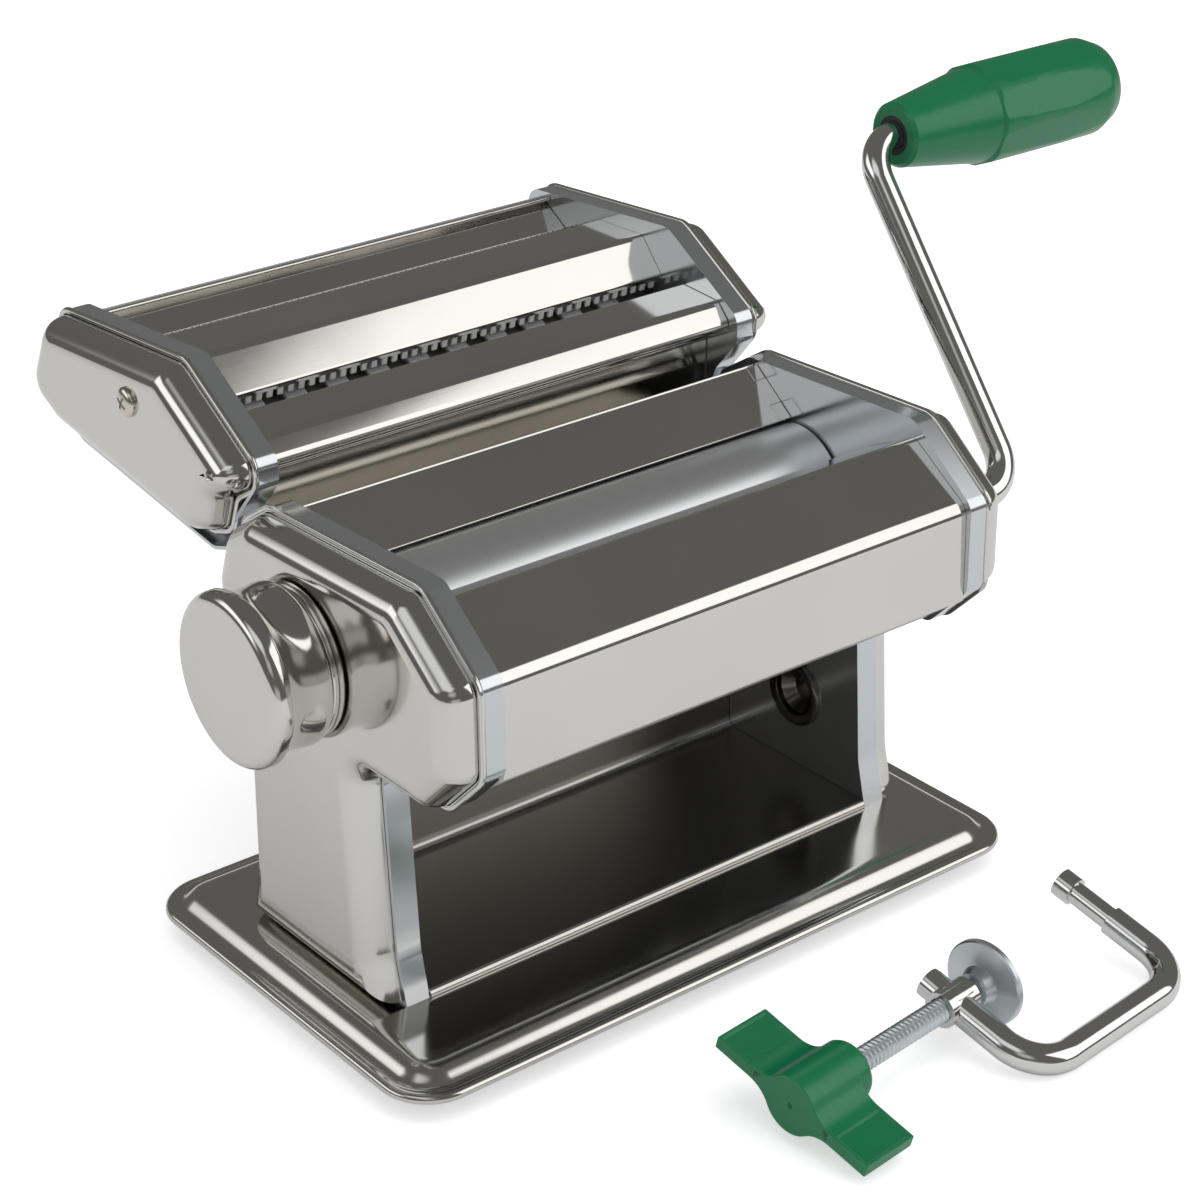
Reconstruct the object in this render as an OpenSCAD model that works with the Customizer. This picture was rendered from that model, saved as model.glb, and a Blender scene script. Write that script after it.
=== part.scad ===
// Hand-cranked pasta rolling machine with a lift-off two-width cutter unit and its bench clamp.
// Millimetres, +Z up. X runs along the rollers towards the crank, +Y towards the back.
// The origin is on the table, in the middle of the four feet.

/* [Base] */
// Length of the base plate along the rollers
base_length = 205; // [195:1:230]
// Depth of the base plate from front to back
base_depth = 125.5; // [120:0.5:150]
// Corner radius of the base plate
base_corner = 14.4; // [12:0.2:20]
// Gap between the table and the rim of the base plate
foot_drop = 6; // [5:0.5:9]
// Height of the raised middle of the base plate above its rim
plateau_rise = 5.7; // [5:0.1:8]
// Radius of each rubber foot
foot_radius = 6.5; // [5:0.1:8]
// Distance of each foot's centre in from the edges of the base plate
foot_inset = 14.5; // [13.5:0.1:20]

/* [Sheet metal] */
// Thickness of the folded and drawn sheets
sheet = 1; // [0.8:0.1:1.2]
// Space between the two inner faces of the side frames
frame_gap = 149; // [120:1:180]
// How far the rim of each side frame stands out from its plate
rim_width = 6; // [5:0.5:8]
// Distance from the inner face of a side frame to the outer face of its cover
side_depth = 15.5; // [15:0.5:20]
// How far the flat outer face of a cover is drawn in from the rim
cover_draw = 4.6; // [3.5:0.1:5]
// Slack between a cover's wall and the rim around it
cover_slack = 0.15; // [0.1:0.05:0.3]

/* [Head] */
// Distance of the flat front of the head ahead of the origin
head_front = 64.5; // [62:0.5:75]
// Distance of the back of the head behind the origin
head_back = 38; // [36:0.5:45]
// Height of the head's top front corner above the roller axes
head_rise = 32.5; // [30:0.5:45]
// Distance of the top front corner ahead of the origin
brow_front = 42.5; // [40:0.5:46]
// Height above the roller axes where the sloping brow meets the flat front
nose_rise = 15.3; // [13.5:0.1:19]
// Depth of the head's underside below the roller axes
head_drop = 22.5; // [20.5:0.5:26]
// Height and depth of the chamfer under the nose
chin_chamfer = 13.5; // [8:0.5:14]
// Distance of the column's front edge ahead of the origin, under the head
column_front = 23.5; // [20:0.5:26]
// Distance of the column's back edge behind the origin, under the head
column_back = 28; // [26:0.5:32]
// How far the foot of the column spreads at the front and at the back
column_flare = 6; // [3:0.5:8]

/* [Rollers] */
// Radius of the two smooth rollers
roller_radius = 17.5; // [14:0.1:18]
// Height of the roller axes above the base rim
roller_height = 94.5; // [94:0.5:98]
// Gap between the rollers at the thickest setting
thickest_sheet = 2.7; // [2:0.1:3]
// Gap between the rollers at the thinnest setting
thinnest_sheet = 0.2; // [0.2:0.1:1]
// Radius of the roller journals
journal_radius = 6; // [4:0.5:7]
// Side clearance between a roller's end and the side frame
roller_side_gap = 0.5; // [0.3:0.1:1.5]
// Teeth on each of the two roller gears
roller_teeth = 18; // [14:1:20]
// Running clearance of the journals in their bushes
running_clearance = 0.05; // [0.02:0.01:0.1]

/* [Crank] */
// Diameter of the crank rod
crank_rod = 8; // [6:0.5:10]
// Distance from the cover's face to the crank's arm
crank_reach = 28; // [22:1:40]
// Length of the crank arm between the two bends
crank_arm = 102.6; // [80:0.2:130]
// Angle of the crank arm above horizontal, leaning back
crank_angle = 52.5; // [0:0.5:180]
// Bend radius of the crank rod
crank_bend = 11; // [9:0.5:15]
// Length of the handle grip
grip_length = 82; // [70:1:95]
// Largest radius of the handle grip
grip_radius = 14.2; // [12:0.2:16]

/* [Thickness knob] */
// Radius of the knob's cap
knob_radius = 22.5; // [20:0.5:24]
// Distance from the cover's face to the front of the knob
knob_length = 20; // [18:0.5:26]
// Thickness of the separate cap on the knob
knob_cap_depth = 5; // [4:0.5:7]
// Radius of the fixed index ring behind the knob
index_radius = 19.8; // [17:0.1:20]
// Diameter of the knob's spindle
spindle = 9; // [7:0.5:11]

/* [Cutter unit] */
// Outer radius of the cutting rings
cutter_radius = 9; // [8.2:0.1:9.2]
// Depth to which facing cutting rings reach past each other
cutter_bite = 1.4; // [1:0.1:1.8]
// Depth of the grooves between the cutting rings
groove_depth = 2.2; // [2.1:0.1:2.8]
// Width of the ribbon that the wide cutter makes
wide_ribbon = 6.5; // [5:0.1:8]
// Width of the ribbon that the fine cutter makes
fine_ribbon = 2; // [1.8:0.1:3]
// Slack between a cutting ring and the groove that it runs in
ring_slack = 0.1; // [0.06:0.02:0.2]
// Teeth on each of the four cutter gears
cutter_teeth = 14; // [12:1:16]
// Lean of the cutter unit, back end up, in degrees
unit_lean = 6.3; // [4:0.1:8]

/* [Bench clamp] */
// Diameter of the clamp's rod
clamp_rod = 8; // [7:0.1:9]
// Length of the clamp's back between its two bends
clamp_back = 60; // [50:1:75]
// Distance from the clamp's back to its screw
clamp_throat = 28.7; // [24:0.1:40]
// Length of the arm that ends in the pin
clamp_pin_arm = 41.7; // [38:0.1:55]
// Diameter of the clamp screw over its thread
clamp_screw_size = 6.4; // [5:0.1:7]
// Pitch of the clamp screw's thread
clamp_pitch = 1.5; // [1:0.1:2]
// Radius of the clamp's pressure pad
clamp_pad_radius = 11.6; // [10:0.1:15]
// Length of the wing handle from tip to tip
wing_span = 50; // [40:1:56]

/* [Hidden] */
$fn = 96;

steel = "Gainsboro";
dark_steel = "Silver";
green = "ForestGreen";
rubber = "DimGray";

rim_z = foot_drop;
plateau_z = rim_z + plateau_rise;
plate_x = frame_gap / 2;
rim_x = plate_x + sheet + rim_width;
face_x = plate_x + side_depth;
press_gap = 0.02;

// Heights named _h are measured up from the base rim; rim_z turns them into places.
head_top = roller_height + head_rise;
nose_height = roller_height + nose_rise;
head_under = roller_height - head_drop;
front_y = -(2 * roller_radius + thickest_sheet);
roller_z = rim_z + roller_height;
roller_end = plate_x - roller_side_gap;
roller_travel = thickest_sheet - thinnest_sheet;

// Places on the side outline of the head
foot_bend_h = 19;
column_lean = 2.9;
column_ease = 1.5;
haunch_h = head_under + 3;
haunch_top_h = head_under + 15;
tail_top_h = nose_height - 4.8;
tail_step_h = tail_top_h + 12.5;
tail_step_in = 4.5;
tail_top_in = 16;
top_fall = 2.2;

// Bearings, gears and hubs inside the side covers
bush_radius = 9;
bush_flange_radius = 11;
bush_flange = 1.5;
slot_slack = 0.1;
gear_x = plate_x + sheet + bush_flange + 0.8;
gear_width = 6;
gear_backlash = 0.35;
hub_radius = 7.5;
hub_end = face_x + 0.3;
socket_floor = gear_x + 4.2;
socket_radius = crank_rod / 2 + 0.1;
key_radius = crank_rod / 2 - 0.25;
crank_tip = socket_floor + 0.3;
arm_x = face_x + crank_reach;

// Knob, measured outwards from the left cover's face
index_depth = 1.8;
knob_gap = 0.5;
yoke_end = plate_x + sheet + bush_flange + 2.2;
cam_x = yoke_end + 0.4;
cam_disc = 2.4;
knob_back = face_x + index_depth + knob_gap;
knob_front = face_x + knob_length;
cap_seam = knob_front - knob_cap_depth;
spring_room = 7;
spring_pocket = spindle / 2 + 3.2;

// Cutter unit
unit_front = head_back - 11;
unit_under_h = tail_top_h - 1.5;
unit_top_h = head_top + 25.8;
unit_back = unit_front + 104;
cutter_pitch = 2 * cutter_radius - cutter_bite;
pair_step = cutter_pitch + 2 * cutter_radius + 0.9;
cutter_journal = 3.5;
cutter_end = plate_x - 2;
cutter_bush_radius = 5.5;
cutter_flange = 1;
cutter_gear_width = 4;
wide_gear_x = plate_x + sheet + cutter_flange + 0.6;
fine_gear_x = wide_gear_x + cutter_gear_width + 1;
cutter_hub = 6.5;
cutter_hole = cutter_hub + 0.7;
comb_sheet = 1.2;
tongue_x = 60;
tongue_width = 8;
tongue_sheet = 1.6;
tongue_slack = 0.3;
rail_h = roller_height - 2.5;
rail_height = 14;

// Clamp socket in the right column, and the clamp as it lies on the table
socket_h = 30.2;
socket_y = 0;
socket_bore = clamp_rod / 2 + 0.15;
socket_mouth = 7.1;
socket_tube = 8.1;
clamp_bend = 12;
clamp_at = [28.5, -141.4];
clamp_yaw = 6.1;
clamp_tilt = asin((clamp_pad_radius + 0.05 - clamp_rod / 2) / clamp_throat);
clamp_tail = 8.7;
pin_step = clamp_pin_arm - 17.4;
pin_collar = 3.2;
pin_neck = clamp_rod / 2 - 0.9;
wing_width = 17;
wing_leaf = 3.5;
wing_fillet = 9;
hub_radius_wing = 8;
hub_length = 22;
pad_x = 11.8;

// ---- outlines and sheet metal -------------------------------------------------

function flat(p) = [p[0], p[1]];
function unit(v) = v / norm(v);
function left_of(v) = [-v[1], v[0]];
function cross2(a, b) = a[0] * b[1] - a[1] * b[0];

// Arc of n steps that rounds the corner b between a and c with radius r.
function corner_arc(a, b, c, r, n) =
    let(u = unit(a - b), v = unit(c - b),
        half = acos(max(-1, min(1, u * v))) / 2,
        centre = b + unit(u + v) * r / sin(half),
        start = b + u * r / tan(half) - centre,
        end = b + v * r / tan(half) - centre,
        from = atan2(start[1], start[0]),
        sweep = (atan2(end[1], end[0]) - from + 540) % 360 - 180)
    [for (i = [0:n]) centre + r * [cos(from + sweep * i / n), sin(from + sweep * i / n)]];

// Closed outline of [x, y, radius] corners with its corners rounded.
function rounded(corners, n = 4) =
    let(k = len(corners))
    [for (i = [0:k - 1])
        let(a = flat(corners[(i + k - 1) % k]), b = flat(corners[i]), c = flat(corners[(i + 1) % k]))
        each (corners[i][2] > 0 ? corner_arc(a, b, c, corners[i][2], n) : [b])];

// Corner i of an anticlockwise outline, moved in by d, with its radius to match.
function inset_corner(corners, i, d) =
    let(k = len(corners), b = flat(corners[i]), r = corners[i][2],
        e1 = unit(b - flat(corners[(i + k - 1) % k])),
        e2 = unit(flat(corners[(i + 1) % k]) - b),
        n1 = left_of(e1), n2 = left_of(e2),
        p = b + d * (n1 + n2) / (1 + n1 * n2))
    [p[0], p[1], r == 0 ? 0 : max(0.4, r + (cross2(e1, e2) > 0 ? -d : d))];
function inset(corners, d) = [for (i = [0:len(corners) - 1]) inset_corner(corners, i, d)];

// Open folding line of [x, y, radius] points with its bends rounded.
function folded(points, n = 5) =
    let(k = len(points))
    [for (i = [0:k - 1])
        each (i == 0 || i == k - 1 || points[i][2] == 0 ? [flat(points[i])] :
            corner_arc(flat(points[i - 1]), flat(points[i]), flat(points[i + 1]), points[i][2], n))];

// Closed section of a sheet of thickness t that lies to the left of a folding line.
function sheet_section(line, t) =
    let(k = len(line),
        dirs = [for (i = [0:k - 2]) unit(line[i + 1] - line[i])],
        side = [for (i = [0:k - 1])
            let(a = left_of(dirs[max(i - 1, 0)]), b = left_of(dirs[min(i, k - 2)]))
            line[i] + t * (a + b) / (1 + a * b)])
    concat(line, [for (i = [k - 1:-1:0]) side[i]]);

// Shape drawn in the Y-Z plane, extruded from x to x + length.
module along_x(x, length) translate([x, 0, 0]) rotate([90, 0, 90]) linear_extrude(length) children();

// Folded sheet between the side frames, half its width to each side of the middle.
module folded_sheet(points, half_width, t = sheet)
    along_x(-half_width, 2 * half_width)
        translate([0, rim_z]) polygon(sheet_section(folded(points), t));

module bar_x(r, x0, x1, y, z) translate([x0, y, z]) rotate([0, 90, 0]) cylinder(r = r, h = x1 - x0);

// Profile of [radius, x] points turned about a line along X.
module turned_x(profile, y, z) translate([0, y, z]) rotate([0, 90, 0]) rotate_extrude() polygon(profile);

module both_sides() {
    children();
    mirror([1, 0, 0]) children();
}

// An outline's end face is cut into triangles: the corner with the shortest new edge goes first.
function within(p, a, b, c) =
    cross2(b - a, p - a) >= 0 && cross2(c - b, p - b) >= 0 && cross2(a - c, p - c) >= 0;
function is_ear(points, ids, k) =
    let(n = len(ids), a = points[ids[(k + n - 1) % n]], b = points[ids[k]], c = points[ids[(k + 1) % n]])
    cross2(b - a, c - b) > 1e-6 &&
        len([for (i = ids) let(p = points[i]) if (p != a && p != b && p != c && within(p, a, b, c)) i]) == 0;
function ears(points, ids) =
    len(ids) < 4 ? [ids] :
    let(n = len(ids),
        cuts = [for (k = [0:n - 1])
            is_ear(points, ids, k) ? norm(points[ids[(k + 1) % n]] - points[ids[(k + n - 1) % n]]) : 1e9],
        k = search(min(cuts), cuts)[0])
    concat([[ids[(k + n - 1) % n], ids[k], ids[(k + 1) % n]]],
        ears(points, [for (i = [0:n - 1]) if (i != k) ids[i]]));

// Closed skin over a row of rings of equally many points, the first and last of one outline.
module loft(rings) {
    n = len(rings[0]);
    last = (len(rings) - 1) * n;
    sides = [for (j = [0:len(rings) - 2], i = [0:n - 1])
        [j * n + i, (j + 1) * n + i, (j + 1) * n + (i + 1) % n, j * n + (i + 1) % n]];
    cap = ears([for (p = rings[0]) [p[1], p[2]]], [for (i = [0:n - 1]) i]);
    end_cap = [for (t = cap) [last + t[2], last + t[1], last + t[0]]];
    polyhedron([for (ring = rings) each ring], concat(cap, sides, end_cap));
}

function placed_ring(corners, x, d) = [for (p = rounded(inset(corners, d))) [x, p[0], p[1] + rim_z]];

// ---- side outlines --------------------------------------------------------------

head_outline = [
    [-column_front - column_flare, plateau_rise, 0],
    [column_back + column_flare, plateau_rise, 0],
    [column_back + column_ease, foot_bend_h + 6, 30],
    [column_back, haunch_h, 6],
    [head_back, haunch_top_h, 6],
    [head_back, tail_top_h, 5],
    [head_back - tail_step_in, tail_step_h, 5],
    [head_back - tail_top_in, head_top - top_fall, 5],
    [-brow_front, head_top, 4],
    [-head_front, nose_height, 5],
    [-head_front, head_under + chin_chamfer, 5],
    [-head_front + chin_chamfer, head_under, 4],
    [-column_front, head_under, 5],
    [-column_front - column_lean, foot_bend_h, 20]];

unit_outline = [
    [unit_front + 22, unit_under_h, 6],
    [unit_front + 87, unit_under_h + 8.5, 6],
    [unit_back, unit_under_h + 16.5, 7],
    [unit_back - 11.5, unit_top_h - 4.3, 5],
    [unit_front + 30, unit_top_h, 5],
    [unit_front, unit_top_h - 18.3, 5],
    [unit_front, unit_top_h - 25.3, 3],
    [unit_front + 9, unit_under_h + 13.5, 4],
    [unit_front + 13, unit_under_h + 3, 5]];

// Drawn side frame: a flat plate with a rim turned outwards and a rolled lip along the head.
module drawn_frame(corners, lip_from_h) {
    along_x(plate_x, sheet) translate([0, rim_z]) polygon(rounded(corners));
    along_x(plate_x + sheet, rim_width) translate([0, rim_z]) difference() {
        polygon(rounded(corners));
        polygon(rounded(inset(corners, sheet)));
    }
    lip = 0.6;
    difference() {
        along_x(rim_x - lip, lip) translate([0, rim_z]) difference() {
            polygon(rounded(inset(corners, -lip)));
            polygon(rounded(corners));
        }
        translate([rim_x - 2, -150, -1]) cube([4, 350, rim_z + lip_from_h + 1]);
    }
}

// Drawn cover: a straight wall inside the frame's rim, then a swept bevel up to the flat face.
module drawn_cover(corners) {
    wall = sheet * 0.9;
    first = sheet + cover_slack;
    mouth_x = plate_x + sheet + 1;
    bevel_x = face_x - 6;
    steps = 4;
    function bevel(t) = [bevel_x + (face_x - bevel_x) * sin(t), first + (cover_draw - first) * (1 - cos(t))];
    outer = concat([[mouth_x, first]], [for (i = [0:steps]) bevel(90 * i / steps)]);
    inner = concat([[mouth_x, first + wall]],
        [for (i = [0:steps]) bevel(90 * i / steps) + wall * [-sin(90 * i / steps), cos(90 * i / steps)]]);
    rings = concat([for (i = [steps + 1:-1:0]) inner[i]], outer);
    loft([for (s = rings) placed_ring(corners, s[0], s[1])]);
}

// ---- gears ----------------------------------------------------------------------

function involute(a) = tan(a) * 180 / PI - a;

// Outline of a spur gear; one tooth points along +X.
function gear_outline(teeth, size, backlash) =
    let(pitch_r = size * teeth / 2, base_r = pitch_r * cos(20),
        tip_r = pitch_r + size, root_r = pitch_r - 1.25 * size,
        half = 90 / teeth - backlash / (4 * pitch_r) * 180 / PI,
        low_r = max(base_r, root_r + 0.01),
        flank = [for (i = [0:4])
            let(r = low_r + (tip_r - low_r) * i / 4)
            [r, half + involute(20) - involute(acos(base_r / r))]],
        root = [root_r, flank[0][1]])
    [for (k = [0:teeth - 1])
        each [for (p = concat([[root[0], -root[1]]], [for (q = flank) [q[0], -q[1]]],
            [for (i = [4:-1:0]) flank[i]], [root]))
            p[0] * [cos(360 * k / teeth + p[1]), sin(360 * k / teeth + p[1])]]];

// Spur gear on an axis along X, turned so that one tooth points at the angle given.
module spur_gear(teeth, size, width, x, y, z, angle)
    translate([x, y, z]) rotate([angle, 0, 0]) rotate([90, 0, 90])
        linear_extrude(width) polygon(gear_outline(teeth, size, gear_backlash));

// ---- fixed places -----------------------------------------------------------------

// Rods through the head, as [y, height, radius], and the screws on their ends
rods = [[-58, roller_height - 6.5, 3], [-54.5, roller_height + 14.5, 3],
    [27, roller_height - 3.5, 3], [27, roller_height + 12.5, 3]];
scraper_h = roller_height - 18.7;
scraper_rods = [[-49.7, scraper_h, 2.5], [12, scraper_h, 2.5]];
screw_radius = 1.5;
screw_depth = 10;
screw_head = 3.2;
screw_head_height = 1.8;
hole_slack = 0.1;
peg_radius = 1.2;
base_screws = [-18, 22];
base_screw_x = plate_x + 4;

// Keyed end of the crank and the sockets that take it
key_depth = 3;
key_width = crank_rod - 2;
shaft_stop = socket_floor - 0.8;

// Cutter unit rods and rollers, measured from its front top corner
wide_front = [unit_front + 24.5, unit_top_h - 30];
lean = [cos(unit_lean), sin(unit_lean)];
wide_rear = wide_front + cutter_pitch * lean;
fine_front = wide_front + pair_step * lean;
fine_rear = fine_front + cutter_pitch * lean;
cutter_axes = [wide_front, wide_rear, fine_front, fine_rear];
cap_screw_at = [unit_front + 45.1, unit_top_h - 14];
unit_rods = [[unit_front + 20, unit_top_h - 42.3, 2.5], [unit_front + 85, unit_top_h - 34.8, 2.5],
    [cap_screw_at[0], cap_screw_at[1], 3]];
cap_screw_radius = 1.8;
cap_screw_head = 4;

function from_unit(points) = [for (p = points) [p[0] + unit_front, p[1] + unit_top_h, p[2]]];

module hole_x(r, x0, x1, y, h) bar_x(r, x0, x1, y, rim_z + h);

// ---- base -------------------------------------------------------------------------

// Slab with rounded corners whose sides lean in from in0 at height h0 to in1 at height h1.
module leaning_slab(h0, h1, in0, in1) {
    x = base_length / 2 - base_corner;
    y = base_depth / 2 - base_corner;
    r0 = base_corner - in0;
    r1 = base_corner - in1;
    for (sx = [-1, 1], sy = [-1, 1])
        translate([sx * x, sy * y, rim_z + h0]) cylinder(r1 = r0, r2 = r1, h = h1 - h0);
    along_x(-x, 2 * x) translate([0, rim_z])
        polygon([[-y - r0, h0], [y + r0, h0], [y + r1, h1], [-y - r1, h1]]);
    rotate([0, 0, 90]) along_x(-y, 2 * y) translate([0, rim_z])
        polygon([[-x - r0, h0], [x + r0, h0], [x + r1, h1], [-x - r1, h1]]);
}

module base_plate() color(steel) difference() {
    bead = 0.32 * plateau_rise;
    step = 0.67 * plateau_rise;
    union() {
        leaning_slab(0, bead, 0, 0.4);
        leaning_slab(bead, step, 2.6, 3.8);
        leaning_slab(step, plateau_rise, 6.5, 9);
    }
    leaning_slab(-1, bead - sheet, sheet, sheet + 0.4);
    leaning_slab(bead - sheet - 0.01, step - sheet, 2.6 + sheet, 3.8 + sheet);
    leaning_slab(step - sheet - 0.01, plateau_rise - sheet, 6.5 + sheet, 9 + sheet);
    for (sx = [-1, 1], y = base_screws)
        translate([sx * base_screw_x, y, rim_z]) cylinder(r = screw_radius + hole_slack, h = 2 * plateau_rise);
}

module rubber_feet() color(rubber)
    for (sx = [-1, 1], sy = [-1, 1])
        translate([sx * (base_length / 2 - foot_inset), sy * (base_depth / 2 - foot_inset), 0])
            rotate_extrude() polygon([[0, 0], [foot_radius - 1, 0], [foot_radius - 0.3, 0.7], [foot_radius, 4],
                [foot_radius - 0.8, 4.8], [3.6, 4.8], [3.4, rim_z + plateau_rise - sheet - 0.05],
                [0, rim_z + plateau_rise - sheet - 0.05]]);

// ---- frames and covers of the machine ---------------------------------------------

// Holes both side frames share: rods, bearings, guide tab and the screws up from the base.
module frame_holes() {
    for (rod = rods)
        hole_x(screw_radius + hole_slack, plate_x - 1, plate_x + 3, rod[0], rod[1]);
    for (rod = scraper_rods)
        hole_x(peg_radius + 0.05, plate_x - 1, plate_x + 3, rod[0], rod[1]);
    hole_x(bush_radius + press_gap, plate_x - 1, plate_x + 3, front_y, roller_height);
    for (y = [0, -roller_travel])
        hole_x(bush_radius + slot_slack, plate_x - 1, plate_x + 3, y, roller_height);
    translate([plate_x - 1, -roller_travel, roller_z - bush_radius - slot_slack])
        cube([4, roller_travel, 2 * (bush_radius + slot_slack)]);
    along_x(plate_x - 1, 3) guide_tab(tab_slack);
    for (y = base_screws)
        translate([base_screw_x, y, rim_z + plateau_rise - 1])
            cylinder(r = screw_radius + hole_slack, h = 3);
}

module left_frame() color(steel) mirror([1, 0, 0]) difference() {
    drawn_frame(head_outline, head_under + 6);
    frame_holes();
}

module right_frame() color(steel) difference() {
    drawn_frame(head_outline, head_under + 6);
    frame_holes();
    hole_x(socket_tube + press_gap, plate_x - 1, plate_x + 3, socket_y, socket_h);
}

module left_cover() color(steel) mirror([1, 0, 0]) difference() {
    drawn_cover(head_outline);
    hole_x(spindle / 2 + 0.4, face_x - 3, face_x + 1, 0, roller_height);
}

module right_cover() color(steel) difference() {
    drawn_cover(head_outline);
    hole_x(hub_radius + 0.7, face_x - 3, face_x + 1, front_y, roller_height);
    hole_x(socket_tube + 0.4, face_x - 3, face_x + 1, socket_y, socket_h);
}

// Funnel pressed into the right column: rolled mouth inside, bore for the clamp's pin outside.
module clamp_socket() color(steel)
    turned_x([[socket_mouth, plate_x - 0.8], [socket_tube + 0.9, plate_x - 1.5], [socket_tube + 2, plate_x - 0.9],
        [socket_tube + 2, plate_x], [socket_tube, plate_x], [socket_tube, face_x + 0.3],
        [socket_bore, face_x + 0.3], [socket_bore, plate_x + 4], [socket_mouth, plate_x + 1]],
        socket_y, rim_z + socket_h);

module tie_rods() color(dark_steel) difference() {
    for (rod = rods) bar_x(rod[2], -plate_x, plate_x, rod[0], rim_z + rod[1]);
    both_sides() for (rod = rods)
        hole_x(screw_radius + press_gap, plate_x - screw_depth - 1, plate_x + 1, rod[0], rod[1]);
}

// Pan-head screw along X with its head outwards and a slot across it.
module slotted_screw(x, y, z) difference() {
    turned_x([[0, x - screw_depth], [screw_radius, x - screw_depth], [screw_radius, x], [screw_head, x],
        [screw_head, x + 1], [screw_head - 0.8, x + screw_head_height], [0, x + screw_head_height]], y, z);
    translate([x + screw_head_height - 0.7, y - screw_head, z - 0.4]) cube([1, 2 * screw_head, 0.8]);
}

module frame_screws() color(dark_steel) both_sides() {
    for (rod = rods) slotted_screw(plate_x + sheet, rod[0], rim_z + rod[1]);
    for (y = base_screws) translate([base_screw_x, y, rim_z + plateau_rise - sheet]) {
        translate([0, 0, -1.5]) cylinder(r = screw_head, h = 1.5);
        cylinder(r = screw_radius, h = 2 * sheet);
    }
}

// ---- sheets between the frames ----------------------------------------------------

sheet_half = plate_x - 0.1;
tab_start = 0.3;
tab_width = 8;
tab_slack = 0.05;
guide_tip = [-26.5, roller_height + 19.8, 0];
guide_top = [-brow_front - 0.5, head_top - 4.7, 3];
cover_top = [-head_front + 1.7, nose_height - 0.9, 5];
cover_foot = [-head_front + 1.2, head_under + 6.5, 0];

// End of the tab that sticks out of the dough guide, or its slot when it is grown by d.
module guide_tab(d) {
    run = unit(flat(guide_top) - flat(guide_tip));
    up = -left_of(run);
    translate([0, rim_z]) polygon(sheet_section(
        [for (s = [tab_start - d, tab_start + tab_width + d]) flat(guide_tip) + s * run + d * up], sheet + 2 * d));
}

module front_cover() color(steel) {
    folded_sheet([guide_tip, guide_top, cover_top, cover_foot], sheet_half);
    both_sides() along_x(sheet_half - 1, 2.1) guide_tab(0);
}

module hopper_plate() color(steel) {
    foot = [4.2, roller_height + 18.1];
    run = [head_back - 19.5, head_top - 3.4] - foot;
    length = norm(run);
    inner = plate_x - 4;
    translate([0, foot[0], rim_z + foot[1]]) rotate([atan2(run[1], run[0]), 0, 0])
        translate([0, 0, -sheet]) linear_extrude(sheet) union() {
            translate([-inner, 0]) square([2 * inner, length]);
            translate([-sheet_half, 0.3 * length]) square([2 * sheet_half, 0.45 * length]);
        }
}

module rear_cover() color(steel)
    folded_sheet([[head_back - 9.8, head_under + 4.5, 0], [head_back - 1.2, haunch_top_h + 1, 5],
        [head_back - 1.2, tail_top_h, 5], [head_back - 5, tail_top_h + 11, 5],
        [head_back - 18, head_top - 3.6, 0]], sheet_half);

module catch_tray() color(steel)
    folded_sheet([[28.2, head_under + 3, 0], [28.2, plateau_rise + 2, 3], [-30, plateau_rise + 2, 1.6],
        [-30, plateau_rise + 0.05, 0]], sheet_half);

// Spring-steel strip under a roller, held by a rod; side is +1 for the rear roller, -1 for the front.
module scraper(rod, side, tip) {
    y = rod[0];
    h = rod[1];
    bar_x(rod[2], -plate_x + 0.05, plate_x - 0.05, y, rim_z + h);
    both_sides() bar_x(peg_radius, plate_x - 1, plate_x + sheet, y, rim_z + h);
    line = side > 0 ? [[y, h - 1.2], [tip, h + 0.3]] : [[tip, h + 0.3], [y, h - 1.2]];
    along_x(-roller_end, 2 * roller_end) translate([0, rim_z]) polygon(sheet_section(line, 0.6));
}

module roller_scrapers() color(dark_steel) {
    scraper(scraper_rods[0], -1, front_y + 2.6);
    scraper(scraper_rods[1], 1, -2.6);
}

// Guides on the rear cover that take the cutter unit's tongues, closed at the bottom.
module cutter_rails() color(steel) {
    y = head_back - 1.15;
    pocket_y = y + 1.4;
    pocket_half = tongue_width / 2 + tongue_slack;
    pocket_depth = tongue_sheet + 2 * tongue_slack;
    z = rim_z + rail_h - rail_height / 2;
    for (sx = [-1, 1]) difference() {
        translate([sx * tongue_x - pocket_half - sheet, y, z])
            cube([2 * (pocket_half + sheet), pocket_y - y + pocket_depth + sheet, rail_height]);
        translate([sx * tongue_x - pocket_half, pocket_y, z + sheet])
            cube([2 * pocket_half, pocket_depth, rail_height]);
    }
}

// ---- smoothing rollers ------------------------------------------------------------

module bush(x, y, z, r_bore) difference() {
    turned_x([[r_bore, x], [bush_radius, x], [bush_radius, x + sheet], [bush_flange_radius, x + sheet + 0.05],
        [bush_flange_radius, x + sheet + bush_flange], [r_bore, x + sheet + bush_flange]], y, z);
}

module front_bushes() color(dark_steel)
    both_sides() bush(plate_x, front_y, roller_z, journal_radius + running_clearance);

// Bearings that slide in the frames' slots; the left one carries the yoke the knob's cam pin drives.
module rear_bushes() color(dark_steel) {
    both_sides() bush(plate_x, 0, roller_z, journal_radius + running_clearance);
    mirror([1, 0, 0]) difference() {
        bar_x(bush_radius, plate_x + sheet + bush_flange, yoke_end, 0, roller_z);
        translate([plate_x, roller_travel / 2 - cam_pin - yoke_slack, roller_z - bush_radius - 1])
            cube([8, 2 * (cam_pin + yoke_slack), 2 * bush_radius + 2]);
    }
}

cam_pin = 2;
yoke_slack = 0.45;

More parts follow.
